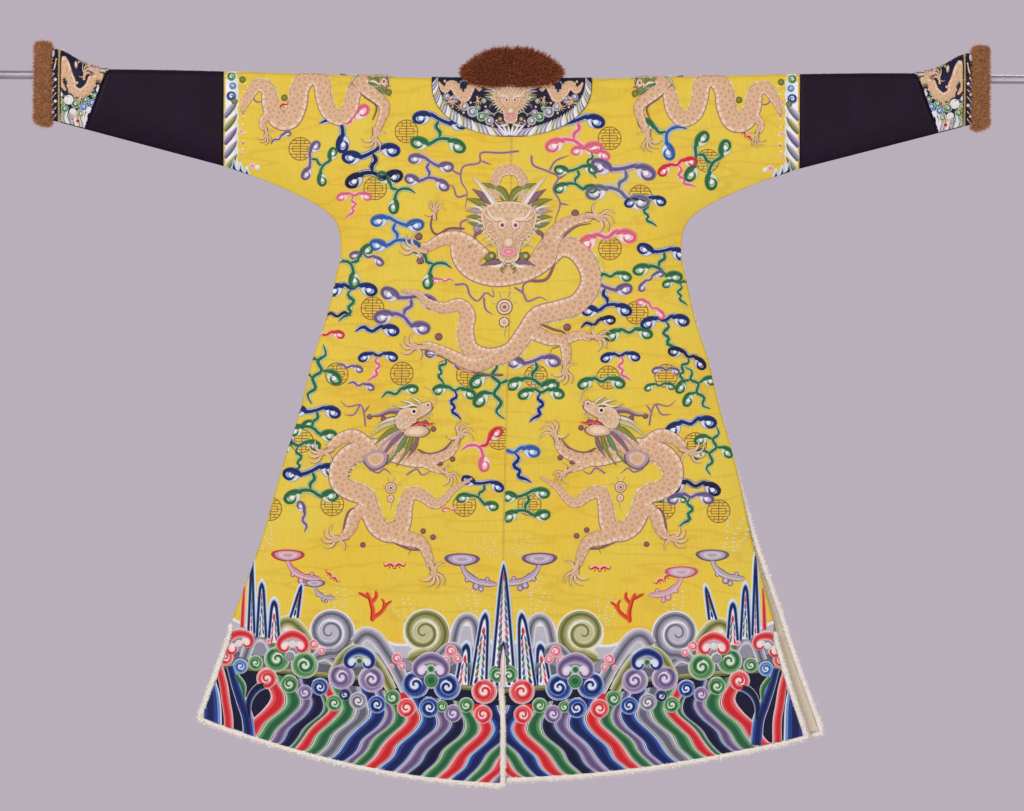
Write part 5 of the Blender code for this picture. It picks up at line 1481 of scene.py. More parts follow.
def walking_dragon(work):
    """One of the two dragons below, striding towards the middle, in cells about its pearl."""
    scroll_flames(work, [
        [(-34, 62), (-36, 76), (-40, 84), (-52, 82), (-60, 88)], [(-40, 84), (-46, 74), (-56, 74)],
        [(-36, 76), (-30, 84)],
        [(-30, 20), (-20, 16), (-14, 20), (-6, 14)], [(8, 14), (18, 20), (24, 14), (32, 18)],
    ])
    limb(work, [(-26, 38), (-44, 52), (-58, 50), (-70, 40)], [16, 16, 13, 9], 9)
    claw(work, -77, 36, 200, 0.95)
    limb(work, [(-6, 36), (16, 29), (36, 30), (50, 36), (58, 46)], [20, 17, 14, 11, 8], 9)
    shadow_line(work, [(18, 40), (30, 35), (44, 39), (54, 50)], [2.4, 3.0, 2.6, 1], 18, 0.0006)
    claw(work, 61, 54, 66, 0.95)
    scaled_body(work, [
        (6, 60), (-4, 49), (-18, 41), (-34, 39), (-50, 33), (-59, 20), (-58, 5), (-46, -3), (-33, -8),
        (-27, -24), (-19, -39), (-5, -45), (5, -36), (8, -18), (13, -5), (25, -7), (36, -15), (45, -12),
        (56, 0), (74, 11),
    ], [16, 19, 22, 22, 22, 20, 20, 20, 20, 19, 17, 14, 12, 9, 6, 2], 7)
    work.rings([(-36, 34), (-22, 40), (-10, 36), (-12, 24), (-24, 18), (-34, 24)],
               [(1.0, MAUVE), (0.84, MAUVE_PALE), (0.6, GOLD_LIGHT), (0.4, GOLD)], 16, 0.0014)
    limb(work, [(-10, -42), (8, -49), (24, -54), (31, -66), (34, -77)], [20, 18, 15, 11, 8], 9, spur=True)
    shadow_line(work, [(-4, -53), (12, -60), (26, -62), (30, -74)], [2.4, 2.6, 2.2, 1], 18, 0.0006)
    claw(work, 37, -84, -70, 1.0)
    limb(work, [(-28, -18), (-42, -26), (-47, -40), (-54, -49)], [16, 14, 13, 9], 9)
    shadow_line(work, [(-36, -18), (-48, -22), (-53, -36), (-54, -48)], [2, 2.4, 2.2, 1], 18, 0.0006)
    claw(work, -61, -50, 192, 0.95)
    limb(work, [(20, 30), (34, 22), (44, 18)], [13, 10, 7], 8)
    claw(work, 50, 14, -30, 0.75)
    pearl(work, -7, 1, 6.0)
    knots(work, (
        (-30, 72), (-16, 70), (26, 66), (34, 60), (42, 26), (54, 30), (26, -42), (36, -48), (-34, -56),
    ), 3, UMBER)
    profile_head(work.placed(9, 67, 8, 1.32), 22)


def shoulder_dragon(work):
    """The dragon over a shoulder, in cells from the shoulder line; its head lies over the rod."""
    scroll_flames(work, [[(36, -4), (44, -12), (52, -8), (60, -16), (66, -26)], [(52, -8), (58, -2)],
                         [(-66, -12), (-58, -24), (-48, -22)]])
    scaled_body(work, [
        (-72, -34), (-66, -20), (-57, -8), (-47, -12), (-44, -28), (-36, -42), (-24, -42), (-17, -28),
        (-14, -10), (-4, 2), (6, -4), (9, -20), (14, -34), (26, -40), (36, -30), (40, -14), (48, -2),
        (56, 6),
    ], [4, 10, 14, 17, 19, 20, 20, 19, 18, 17, 16, 16, 15, 14, 13], 7)
    limb(work, [(42, -6), (58, -16), (70, -28), (66, -44), (62, -54)], [13, 14, 12, 9, 6], 12)
    shadow_line(work, [(36, -4), (50, -18), (62, -28), (58, -42)], [2.6, 3, 2.6, 1], 20)
    claw(work, 60, -60, -92, 0.85)
    limb(work, [(-44, -34), (-52, -44), (-50, -52)], [10, 8, 6], 9)
    claw(work, -48, -58, -84, 0.6)
    knots(work, ((-80, -24), (-72, -2), (74, -14), (-30, -20)), 3.6, OLIVE)
    tufts(work, [([(52, 2), (62, -4), (76, -8)], 6, OLIVE), ([(50, 6), (62, 4), (78, 2)], 6, OLIVE_PALE),
                 ([(54, -2), (64, -10), (76, -18)], 5, LEAF)], 14)
    profile_head(work.placed(60, 16, 30, 1.1), 16)


# ---------------------------------------------------------------- clouds and small emblems
# Between the dragons the ground is scattered with ribbon-tailed clouds in stepped colours,
# round fret medallions, bats, lingzhi fungus, branches of coral and flecks of spray.
SILK_GLOW = linear((226, 204, 96))
CORE_STEPS = (MIDDLE, DARK, MIDDLE)
CLOUD_SCALE, RIBBON_LAYER, RIBBON_WIDTH, HALO = 0.86, 3, 0.118, 0.085
# a ribbon's curled head: the pale almond, and the hook that winds in it with its widths
ALMOND = (
    (-0.20, -0.02), (-0.13, -0.13), (0.0, -0.165), (0.14, -0.12), (0.21, 0.0), (0.13, 0.10), (0.0, 0.12),
    (-0.13, 0.08),
)
HOOK = (
    (-0.22, -0.01), (-0.10, 0.075), (0.05, 0.085), (0.155, 0.03), (0.145, -0.065), (0.04, -0.115),
    (-0.05, -0.075), (-0.03, -0.02),
)
HOOK_WIDTHS = (0.10, 0.115, 0.12, 0.11, 0.095, 0.075, 0.055, 0.03)
CLOUDS = {
    # kind: ribbons as (points, colour used, curl at start, curl at end)
    "double": (
        (((-0.50, 0.34), (-0.24, 0.27), (0.02, 0.34), (0.26, 0.44), (0.50, 0.38)), 0, 1, 1),
        (((0.02, 0.32), (0.08, 0.14), (-0.04, 0.0), (-0.02, -0.14)), 1, 0, 0),
        (((-0.54, -0.24), (-0.28, -0.14), (-0.02, -0.16), (0.20, -0.30), (0.46, -0.26)), 1, 1, 1),
    ),
    "tailed": (
        (((-0.48, 0.28), (-0.22, 0.36), (0.0, 0.26), (0.22, 0.36), (0.50, 0.26)), 0, 1, 1),
        (((0.0, 0.28), (0.10, 0.08), (-0.06, -0.08), (0.08, -0.24), (0.02, -0.38), (0.22, -0.50),
          (0.34, -0.62)), 1, 0, 0),
    ),
    "forked": (
        (((-0.54, 0.06), (-0.28, 0.16), (-0.02, 0.08), (0.06, -0.14), (0.0, -0.46)), 0, 0, 1),
        (((-0.02, 0.08), (0.22, 0.10), (0.30, 0.26), (0.50, 0.42)), 1, 0, 1),
    ),
    "wisp": ((((-0.62, -0.10), (-0.38, 0.04), (-0.14, -0.08), (0.12, 0.06), (0.42, 0.0)), 0, 0, 1),),
    "bar": ((((-0.52, 0.02), (-0.24, 0.12), (0.0, 0.0), (0.24, 0.10), (0.50, -0.02)), 0, 1, 1),),
    "column": (
        (((-0.10, 0.86), (0.06, 0.62), (-0.08, 0.40), (0.10, 0.18), (-0.06, -0.06), (0.10, -0.30),
          (-0.04, -0.52), (0.16, -0.74)), 0, 0, 0),
        (((-0.08, 0.40), (-0.34, 0.44), (-0.50, 0.34)), 0, 0, 1),
        (((0.10, 0.18), (0.34, 0.24), (0.52, 0.16)), 1, 0, 1),
        (((-0.06, -0.06), (-0.32, -0.02), (-0.46, -0.14)), 1, 0, 1),
    ),
}


def ribbon(work, points, family, curls):
    """A wavy ribbon of cloud with a pale halo, a dark core and almond heads with white eyes."""
    points = [np.array(p, float) for p in points]
    rim, glow = floss(family, LIGHT) * 0.7 + SILK_GLOW * 0.3, floss(family, EDGE) * 0.9 + SILK_GLOW * 0.1
    layer, width = RIBBON_LAYER, RIBBON_WIDTH
    taper = [width if curls[0] else width * 0.3, width, width * 0.9, width, width if curls[1] else width * 0.3]
    work.stroke(points, [w + HALO for w in taper], [(rim, 0.2), (glow, 0.6), (rim, 0.2)], layer,
                0.0002, step=0.010)
    core = stepped(family, (0.3, 0.45, 0.25), CORE_STEPS)
    work.stroke(points, taper, core, layer + 3, 0.0008, step=0.0058)
    for end in (0, 1):
        if not curls[end]:
            continue
        tip, before = (points[-1], points[-2]) if end else (points[0], points[1])
        way = (tip - before) / np.linalg.norm(tip - before)
        down = np.array([-way[1], way[0]]) * (1 if way[0] < 0 else -1)
        place = tip - way * 0.02 + down * 0.05
        head = work.placed(place[0], place[1], math.degrees(math.atan2(way[1], way[0])), 1.18)
        hand = 1 if way[0] < 0 else -1
        almond, hook = ([(a, -b * hand) for a, b in line] for line in (ALMOND, HOOK))
        head.rings(almond, [(1.0, rim), (0.85, glow), (0.5, floss(family, LIGHT)), (0.3, floss("white", EDGE))],
                   layer + 1, 0.0004, step=0.007)
        head.stroke(hook, HOOK_WIDTHS, stepped(family, (0.3, 0.5, 0.2), CORE_STEPS), layer + 5,
                    0.0008, step=0.0045)
        head.disc((0.045, 0.03 * hand), 0.036, ringed("white", (1.0, EDGE)), layer + 6, 0.0006, count=8)


def cloud(work, kind, x, y, size, colours, turn=0.0, flip=False):
    """A ribbon-tailed cloud of one kind, in one colour or two."""
    place = work.placed(x, y, turn, size * CLOUD_SCALE, flip)
    families = colours.split()
    for points, which, first, last in CLOUDS[kind]:
        ribbon(place, points, families[which % len(families)], (first, last))


def fungus(work, x, y, size, family, flip):
    """A lingzhi: a broad cap on a wandering stalk."""
    place = work.placed(x, y, 0, size, flip)
    rim = floss(family, DARK) * 0.7 + UMBER * 0.3
    flesh = floss(family, LIGHT) * 0.4 + MAUVE_PALE * 0.6
    glow = floss(family, EDGE) * 0.5 + MAUVE_PALE * 0.5
    place.stroke([(0.0, 0.25), (0.06, 0.04), (0.20, -0.14), (0.44, -0.28), (0.74, -0.34), (1.0, -0.36)],
                 [0.13, 0.15, 0.24, 0.18, 0.22, 0.08],
                 [(rim, 0.16), (flesh, 0.4), (glow, 0.3), (rim, 0.14)], 3, 0.0010)
    for knob_x, knob_y, knob in (
        (0.40, -0.42, 0.11), (0.54, -0.50, 0.09), (0.16, -0.24, 0.08), (0.72, -0.22, 0.07),
    ):
        place.disc((knob_x, knob_y), knob, [(1.0, rim), (0.7, flesh), (0.4, glow)], 4, 0.0008, count=10)
    place.rings([
        (-0.50, 0.34), (-0.40, 0.45), (0.0, 0.50), (0.42, 0.44), (0.52, 0.32), (0.36, 0.20), (0.0, 0.13),
        (-0.34, 0.20),
    ], [(1.0, rim), (0.88, rim), (0.76, flesh), (0.55, glow), (0.3, flesh)], 5, 0.0014)


def bat(work, x, y, size, turn):
    """A small red bat, for good fortune."""
    place = work.placed(x, y, turn, size)
    red, rose = floss("red", DARK), floss("pink", LIGHT)
    for wing in place.halves():
        wing.stroke([(0.02, 0.0), (-0.22, 0.16), (-0.46, 0.04), (-0.56, 0.22)], [0.14, 0.20, 0.15, 0.04],
                    [(red, 0.6), (rose, 0.4)], 3, 0.0006, step=0.004)
        wing.stroke([(-0.2, 0.05), (-0.3, -0.12)], [0.10, 0.03], [(red, 1)], 3, 0.0004, step=0.004)
    place.disc((0, -0.02), 0.11, [(1.0, red), (0.5, rose)], 5, 0.0008, count=10)


def coral(work, x, y, size, flip):
    """A branch of red coral."""
    place = work.placed(x, y, 0, size, flip)
    scarlet = [(linear((196, 44, 24)), 0.3), (linear((226, 72, 36)), 0.4), (linear((238, 120, 80)), 0.3)]
    for path, width in (
        (((0.0, -0.5), (0.02, -0.2), (-0.05, 0.1), (-0.16, 0.38)), (0.16, 0.15, 0.13, 0.10)),
        (((-0.02, 0.05), (0.12, 0.24), (0.10, 0.42)), (0.13, 0.12, 0.08)),
        (((-0.08, 0.2), (-0.28, 0.30), (-0.42, 0.36)), (0.12, 0.11, 0.07)),
        (((0.02, -0.4), (0.26, -0.22), (0.42, 0.0), (0.58, 0.12)), (0.13, 0.13, 0.11, 0.06)),
        (((0.34, -0.12), (0.34, 0.08), (0.26, 0.18)), (0.11, 0.09, 0.06)),
    ):
        place.stroke(path, width, scarlet, 4, 0.0012, step=0.004)


def spray(work, x, y, size, turn):
    """Foam thrown up by the sea: flecks that climb in three curving files."""
    place = work.placed(x, y, turn, size)
    foam = [(floss("white", EDGE) * 0.75 + SILK_GLOW * 0.25, 0.6),
            (floss("green", EDGE) * 0.5 + SILK_GLOW * 0.5, 0.4)]
    for k in range(21):
        lane, climb = k % 3 - 1, k // 3
        across = 0.17 * lane * (1 + 0.16 * climb) + 0.05 * math.sin(2.4 * k)
        up = 0.17 * climb - 0.06 * abs(lane) + 0.04 * math.sin(1.7 * k)
        curl = 0.05 * (1 if lane >= 0 else -1)
        place.stroke([(across, up), (across + curl, up + 0.05), (across + 1.8 * curl, up + 0.02)],
                     [0.035, 0.06, 0.02], foam, 3, 0.0004, step=0.003, ends=(0, 0))


MEDALLION_RADIUS = 12.0
FRET = (
    # from, to, worked in rose
    ((0, -0.92), (0, 0.92), False), ((-0.60, 0.70), (0.60, 0.70), False), ((-0.60, -0.70), (0.60, -0.70), True),
    ((-0.82, 0.44), (0.82, 0.44), False), ((-0.82, -0.44), (0.82, -0.44), False),
    ((-0.92, 0.0), (0.92, 0.0), True),
    ((-0.62, 0.22), (0.62, 0.22), False), ((-0.62, -0.22), (0.62, -0.22), False),
    ((-0.62, 0.22), (-0.62, -0.22), False),
    ((0.62, 0.22), (0.62, -0.22), False), ((-0.34, 0.70), (-0.34, 0.44), False),
    ((0.34, 0.70), (0.34, 0.44), False),
    ((-0.34, -0.70), (-0.34, -0.44), False), ((0.34, -0.70), (0.34, -0.44), False),
)


def medallion(work, x, y):
    """A round fret of couched lines: a ring crossed by key-shaped bars."""
    place = work.placed(x, y, 0, MEDALLION_RADIUS)
    angle = np.linspace(0, 2 * np.pi, 25)
    ring = np.stack([np.cos(angle), np.sin(angle)], axis=-1)
    line, rose_line = [(linear((150, 112, 62)), 1)], [(linear((206, 104, 70)), 1)]
    place.stroke(ring * 0.95, 0.10, line, 4, 0.0003, step=0.005, ends=(0, 0))
    for a, b, rose in FRET:
        a, b = np.array(a, float), np.array(b, float)
        place.stroke([a, (a + b) / 2, b], 0.085, rose_line if rose else line, 4.5, 0.0003,
                     step=0.008, ends=(0, 0))


# the ground's chart, in cells from the middle of the neck: where each cloud and emblem lies
MEDALLIONS = (
    (-211, -73), (-105, -55), (-136, -112), (98, -61), (129, -119), (196, -83), (99, -171),
    (-137, -232), (127, -235),
    (-171, -298), (-106, -297), (-40, -298), (28, -299), (100, -300), (158, -298), (-204, -365),
    (-7, -361), (189, -366),
    (-234, -433), (-172, -428), (-40, -428), (25, -427), (159, -430), (214, -433),
)
CLOUD_PLACES = (
    # kind, x, y, size, colours, and turn and flip where it has them
    ("forked", -171, -50, 46, "navy pink"), ("wisp", -231, -61, 22, "plum", 30),
    ("double", -192, -87, 34, "plum green", 70), ("double", -138, -90, 48, "navy ink", 8),
    ("tailed", -157, -126, 30, "pink", 0, True), ("forked", -113, -116, 38, "green", -10, True),
    ("double", -73, -56, 46, "navy green", -6, True), ("double", -83, -96, 38, "plum", -12, True),
    ("double", -115, -158, 44, "blue", -4, True), ("bar", -143, -181, 30, "plum", -12),
    ("forked", -160, -189, 40, "green", 8), ("forked", -77, -190, 40, "green", -12, True),
    ("wisp", -68, -203, 22, "pink", 0, True), ("tailed", -158, -222, 44, "navy green", 0, True),
    ("wisp", -176, -238, 34, "ink", 4, True), ("double", -103, -234, 48, "plum", -14),
    ("wisp", -132, -252, 42, "navy"), ("wisp", -180, -257, 30, "red"),
    ("column", -192, -300, 44, "green", -18), ("wisp", -158, -290, 26, "plum", -10),
    ("wisp", -146, -308, 26, "plum", -10), ("tailed", -130, -287, 34, "navy pink", 0, True),
    ("wisp", -108, -314, 36, "green grey", 14), ("tailed", -66, -288, 36, "plum green", -20),
    ("tailed", -54, -322, 38, "green navy", -6), ("column", -11, -314, 46, "green", 6),
    ("double", -192, -346, 42, "navy green", -6), ("forked", -214, -352, 30, "ink green", -20),
    ("tailed", -206, -378, 38, "green", 6, True), ("double", -193, -408, 46, "navy green", 4),
    ("wisp", -200, -440, 30, "plum", -80, True), ("forked", -26, -372, 40, "pink red", 10),
    ("tailed", 10, -385, 44, "blue navy", 10), ("double", -24, -416, 36, "navy green", -14),
    ("double", 0, -424, 36, "green", 6, True), ("wisp", -54, -432, 16, "pink", 0, True),
    ("double", 64, -57, 48, "navy pink", -2), ("tailed", 78, -82, 34, "pink green", -8),
    ("double", 65, -102, 36, "green"), ("double", 110, -106, 54, "plum grey", -10),
    ("tailed", 134, -131, 36, "navy green", 4), ("forked", 156, -57, 44, "blue green", 10, True),
    ("double", 196, -82, 44, "green", 70), ("tailed", 168, -95, 36, "red pink", 20),
    ("bar", 96, -160, 50, "pink", 12), ("double", 150, -185, 42, "navy green", -10),
    ("bar", 140, -202, 26, "plum", 40), ("tailed", 169, -212, 30, "green"),
    ("bar", 100, -199, 36, "green plum", 8), ("double", 96, -222, 42, "plum navy", 0, True),
    ("wisp", 88, -244, 34, "ink", 14), ("bar", 142, -230, 28, "pink red", -30),
    ("tailed", 156, -252, 42, "navy green", 6), ("bar", 120, -255, 40, "green", 6),
    ("tailed", 112, -286, 34, "navy pink", 4), ("bar", 94, -304, 40, "green", 4),
    ("tailed", 176, -286, 36, "ink green", -24), ("bar", 158, -292, 24, "plum"),
    ("column", 190, -312, 36, "green", 24), ("bar", 152, -308, 26, "green", 6),
    ("double", 26, -296, 44, "plum green"), ("tailed", 34, -324, 40, "green navy", 0, True),
    ("bar", 184, -346, 44, "navy pink", 14), ("column", 206, -374, 36, "green", -14),
    ("bar", 190, -408, 44, "ink navy", -2), ("tailed", 186, -428, 40, "plum green", 0, True),
    ("double", 22, -428, 40, "green", 4), ("bar", 168, -420, 24, "green"),
)
FUNGI = (
    # x, y, size, family, flip
    (-216, -490, 34, "red", False), (-42, -494, 36, "plum", False), (-189, -514, 22, "plum", False),
    (36, -493, 36, "plum", True), (208, -488, 34, "grey", False), (178, -505, 34, "pink", True),
)
SMALL = (
    # kind, x, y, size, turn
    (bat, -172, -501, 16, -40), (bat, -109, -490, 20, 0), (bat, 96, -492, 20, 0), (bat, 160, -502, 18, 30),
    (bat, -232, -32, 18, 20),
    (bat, 234, -58, 16, -40), (bat, -213, -47, 12, 60),
    (spray, -168, -540, 26, 0), (spray, -94, -548, 24, 20), (spray, -30, -540, 24, 20),
    (spray, 30, -540, 24, -20),
    (spray, -24, -516, 20, 34), (spray, 24, -516, 20, -34), (spray, -10, -478, 20, 34),
    (spray, 10, -478, 20, -34), (spray, 100, -546, 24, -10), (spray, 170, -540, 26, 0),
    (spray, 226, -470, 30, -20), (spray, -236, -470, 26, 20),
)
CORALS = (
    # x, y, size, flip
    (-131, -528, 34, False), (126, -528, 34, True),
)
CHART_TOP = 0.0162  # height of the chart's first row
STITCH_REACH = 0.002  # stitching that would have to move further to stay on its cloth is left out


def ground_work(side, flip=False):
    """The scattered clouds and emblems of one half of the chart, in their order of working."""
    places = [(cloud, row[1], row) for row in CLOUD_PLACES] + [(medallion, row[0], row) for row in MEDALLIONS]
    places += [(fungus, row[0], row) for row in FUNGI] + [(row[0], row[1], row[1:]) for row in SMALL]
    places += [(coral, row[0], row) for row in CORALS]
    work = Needlework()
    chart = work.placed(0, CHART_TOP, size=CELL, flip=flip)
    for emblem, x, values in places:
        if x * side > 0:
            emblem(chart, *values)
    return work


for suffix, side in SIDES:
    stitched[suffix].append(lay(f"clouds_back_{suffix}", ground_work(side), -1, side, panel_limits(-1, side),
                                reach=STITCH_REACH))
    work = Needlework()
    walking_dragon(work.placed(-0.219, -0.8290, size=CELL) if side < 0
                   else work.placed(0.2225, -0.8250, size=CELL, flip=True))
    shoulder_dragon(work.placed(side * 0.404, 0.012, size=CELL, flip=side > 0))
    stitched[suffix].append(lay(f"dragons_back_{suffix}", work, -1, side, panel_limits(-1, side),
                                reach=STITCH_REACH))
great_dragon = drawn(forward_dragon, -0.0085, -0.3570, size=CELL)
stitched["left"].append(lay("great_dragon_back", great_dragon, -1))

# ---------------------------------------------------------------- sleeve ends
# Where each upper sleeve meets the dark one, a narrow strip of slanting surf with a curl above
# and small rocks at its lower corner, in the same floss.
def sleeve_end(work):
    down = np.linspace(0.034, -0.180, 26)
    first, second = (np.stack([np.full(len(down), x), down], axis=-1) for x in (-0.5902, -0.5585))
    work.bands(first + (0, 0), second + np.stack([0.0018 * np.sin(down * 260), 0 * down], axis=-1),
               [(floss("white", EDGE), 0.7), (floss("green", EDGE), 0.14), (floss("blue", EDGE), 0.16)], LAYER,
               0.0003)
    for n, family in enumerate(("grey", "olive", "plum", "grey", "olive")):
        v = -0.052 - 0.0275 * n
        work.stroke([(-0.5895, v - 0.016), (-0.5800, v - 0.006), (-0.5700, v + 0.006), (-0.5625, v + 0.018)],
                    [0.017, 0.018, 0.015, 0.004],
                    stepped(family, (0.14, 0.2, 0.26, 0.26, 0.14), SHORT_STEPS), 3, 0.0010, ends=(0, 1))
    curl_head(work, -0.5745, -0.026, 0.0115, "navy", 5, 1, start=100)
    curl_head(work, -0.5715, -0.005, 0.0085, "blue", 5, -1, start=100)
    curl_head(work, -0.5745, 0.014, 0.0100, "green", 5, 1, start=80)
    corner = work.placed(-0.5585, -0.182, size=SQUARE)
    for axis, height, half, family in ((-26, 92, 22, WARM_MARKS), (8, 66, 20, COOL_MARKS),
                                       (40, 46, 18, WARM_MARKS)):
        blade(corner, axis, -10, height, half, family, 9, tip=0.3)
    for x, y, radius, family in (
        (70, 34, 16, "pink"), (96, 26, 13, "white"), (14, 96, 10, "pink"), (22, 150, 9, "red"),
        (12, 210, 12, "pink"), (20, 300, 9, "red"), (10, 372, 11, "pink"),
    ):
        corner.disc((x, y), radius, ringed(family, (1.0, EDGE), (0.8, LIGHT), (0.4, MIDDLE)), 6)
    for n in range(9):
        corner.disc((18 + 6 * (n % 3), 120 + 42 * n), 5, ringed("white", (1.0, EDGE)), 5, 0.0005, count=8)


for suffix, side in SIDES:
    work = drawn(sleeve_end, flip=side > 0)
    stitched[suffix].append(lay(f"sleeve_end_surf_{suffix}", work, -1, side, panel_limits(-1, side)))

# ---------------------------------------------------------------- cuff embroidery
# The horse-hoof cuffs are almost covered with needlework: a coiled gold dragon above, and
# green, cream and blue surf with a red pearl below; the bands by the fur carry gold curls.
CUFF_CHART = (-0.8764, -0.0248)


def cuff_work(work):
    """A horse-hoof cuff's dragon, surf and pearl, in cells about the cuff's middle."""
    chart = work.placed(*CUFF_CHART, size=CELL)
    scaled_body(chart, [
        (24, 10), (17, 18), (9, 17), (5, 8), (-3, 2), (-11, 6), (-13, 16), (-20, 22), (-24, 14), (-18, 4),
    ], [3, 7, 9, 9.5, 9.5, 9, 8.5, 7.5, 5.5, 2], 6, step=0.0030, columns=10)
    profile_head(chart.placed(12, 22, 12, 0.42, flip=True), 14)
    for x, y, turn in ((1, 20, 80), (-4, -4, 250), (19, 3, 300), (-25, 26, 120)):
        claw(chart, x, y, turn, 0.42, 12)
    for x, y, r in (
        (-24, 4, 2.0), (-8, 24, 1.8), (23, 26, 1.8), (-20, 30, 1.6), (3, 29, 1.7), (14, 9, 1.6),
        (-7, 12, 1.7), (24, 18, 1.6), (-16, 10, 1.4), (7, 1, 1.5), (18, 29, 1.4), (-12, 29, 1.4),
    ):
        bead(chart, x, y, r, 5)
    families = ("white", "green", "olive", "white", "blue", "green", "white", "olive", "grey", "white")
    for n in range(11):
        x = -26.5 + 2.9 * n
        chart.stroke([(x, -40), (x + 1.6, -30), (x - 0.4, -22), (x + 1.8, -15 + 2.4 * math.sin(n))],
                     [2.9, 2.9, 2.8, 2.0],
                     stepped(families[n % len(families)], (0.22, 0.22, 0.22, 0.12, 0.22), SHORT_STEPS), 4,
                     0.0007, step=0.004)
    for x, y, r, family, hand in (
        (-23, -8, 4.6, "olive", 1), (-15, -5, 5.0, "white", -1), (-19, -14, 3.8, "green", 1),
        (-8, -9, 4.6, "green", 1), (-11, -17, 3.6, "white", -1), (0, -12, 4.2, "blue", -1),
        (2, -5, 3.6, "green", 1), (8, -8, 3.8, "blue", 1), (-3, -19, 3.4, "olive", 1),
        (11, -1, 3.2, "green", -1), (15, 5, 3.0, "white", 1), (-24, 0, 3.2, "white", 1),
        (5, -15, 3.4, "white", 1), (-26, -20, 3.2, "white", -1),
    ):
        curl_head(chart, x, y, r, family, 8, hand, start=90)
    pearl(chart, -12, -22, 2.6, 12)
    chart.disc((-6, -26), 2.6, ringed("red", (1.0, EDGE), (0.7, DARK)), 14, count=10)
    for x, y, family in ((-20, -2, "green"), (6, 5, "blue"), (16, -4, "navy"), (-2, 27, "green")):
        cloud(chart, "bar", x, y, 9, family, 10)


def band_work(work):
    """Gold and white curls down a cuff's band."""
    for n in range(17):
        v = 0.036 - 0.0074 * n
        x = -0.9379 + 0.0028 * (-1) ** n
        if n % 3 == 1:
            curl_head(work, x, v, 0.0034, "white", 3, 1, start=60)
        else:
            work.stroke([(x - 0.004, v - 0.003), (x, v), (x + 0.0015, v + 0.003), (x + 0.0045, v + 0.002)],
                        [0.0016, 0.0026, 0.002, 0.0006], [(GOLD_DARK, 0.3), (GOLD_EDGE, 0.7)], 3,
                        0.0006, step=0.002)


def sleeve_limits(side, seam, end, spill):
    """What a length of sleeve leaves for stitching between its leaning seam and its end.

    spill is how far past the top ridge the stitching may run.
    """

    def limits(x, v):
        over = rod_height(x) + RIDGE_WAY
        v = np.clip(v, sleeve_bottom(x) + 0.002, over + spill)
        share = np.where(v > rod_height(x), 0.25 * np.clip((over - v) / RIDGE_WAY, 0, 1),
                         0.25 + 0.75 * (rod_height(x) - v) / (rod_height(x) - sleeve_bottom(x)))
        inner = seam[0] + (seam[1] - seam[0]) * share + 0.001
        return side * np.clip(np.abs(x), inner, end - 0.001), v

    return limits


CUFF_WORK = (
    # name, needlework, seam at the top and at the bottom, end
    ("cuff_embroidery", cuff_work, (CUFF_SEAM_TOP + CUFF_SEAM_GAP, CUFF_SEAM_BOTTOM + CUFF_SEAM_GAP), CUFF_END),
    ("cuff_band_curls", band_work, (CUFF_BAND_START, CUFF_BAND_START), CUFF_BAND_END),
)
cuff_stitched = {suffix: [[], []] for suffix in ("left", "right")}
for suffix, side in SIDES:
    for place, face, spill in (("", -1, 0.016), ("_front", 1, -0.017)):
        for gathered, (name, stitch, seam, end) in zip(cuff_stitched[suffix], CUFF_WORK):
            work, limits = drawn(stitch, flip=side > 0), sleeve_limits(side, seam, end, spill)
            gathered.append(lay(f"{name}{place}_{suffix}", work, face, side, limits))

# ---------------------------------------------------------------- collar embroidery
# The band round the neck carries a forward dragon between two coiled ones, over a rim of
# slanting white and grey surf, with wave crests and leaves between them.
BAND_FLOSS, BAND_CLEAR = 0.0027, 0.0012  # height of the stitching on the bands, and their bare edge
COLLAR_CHART = 0.0121


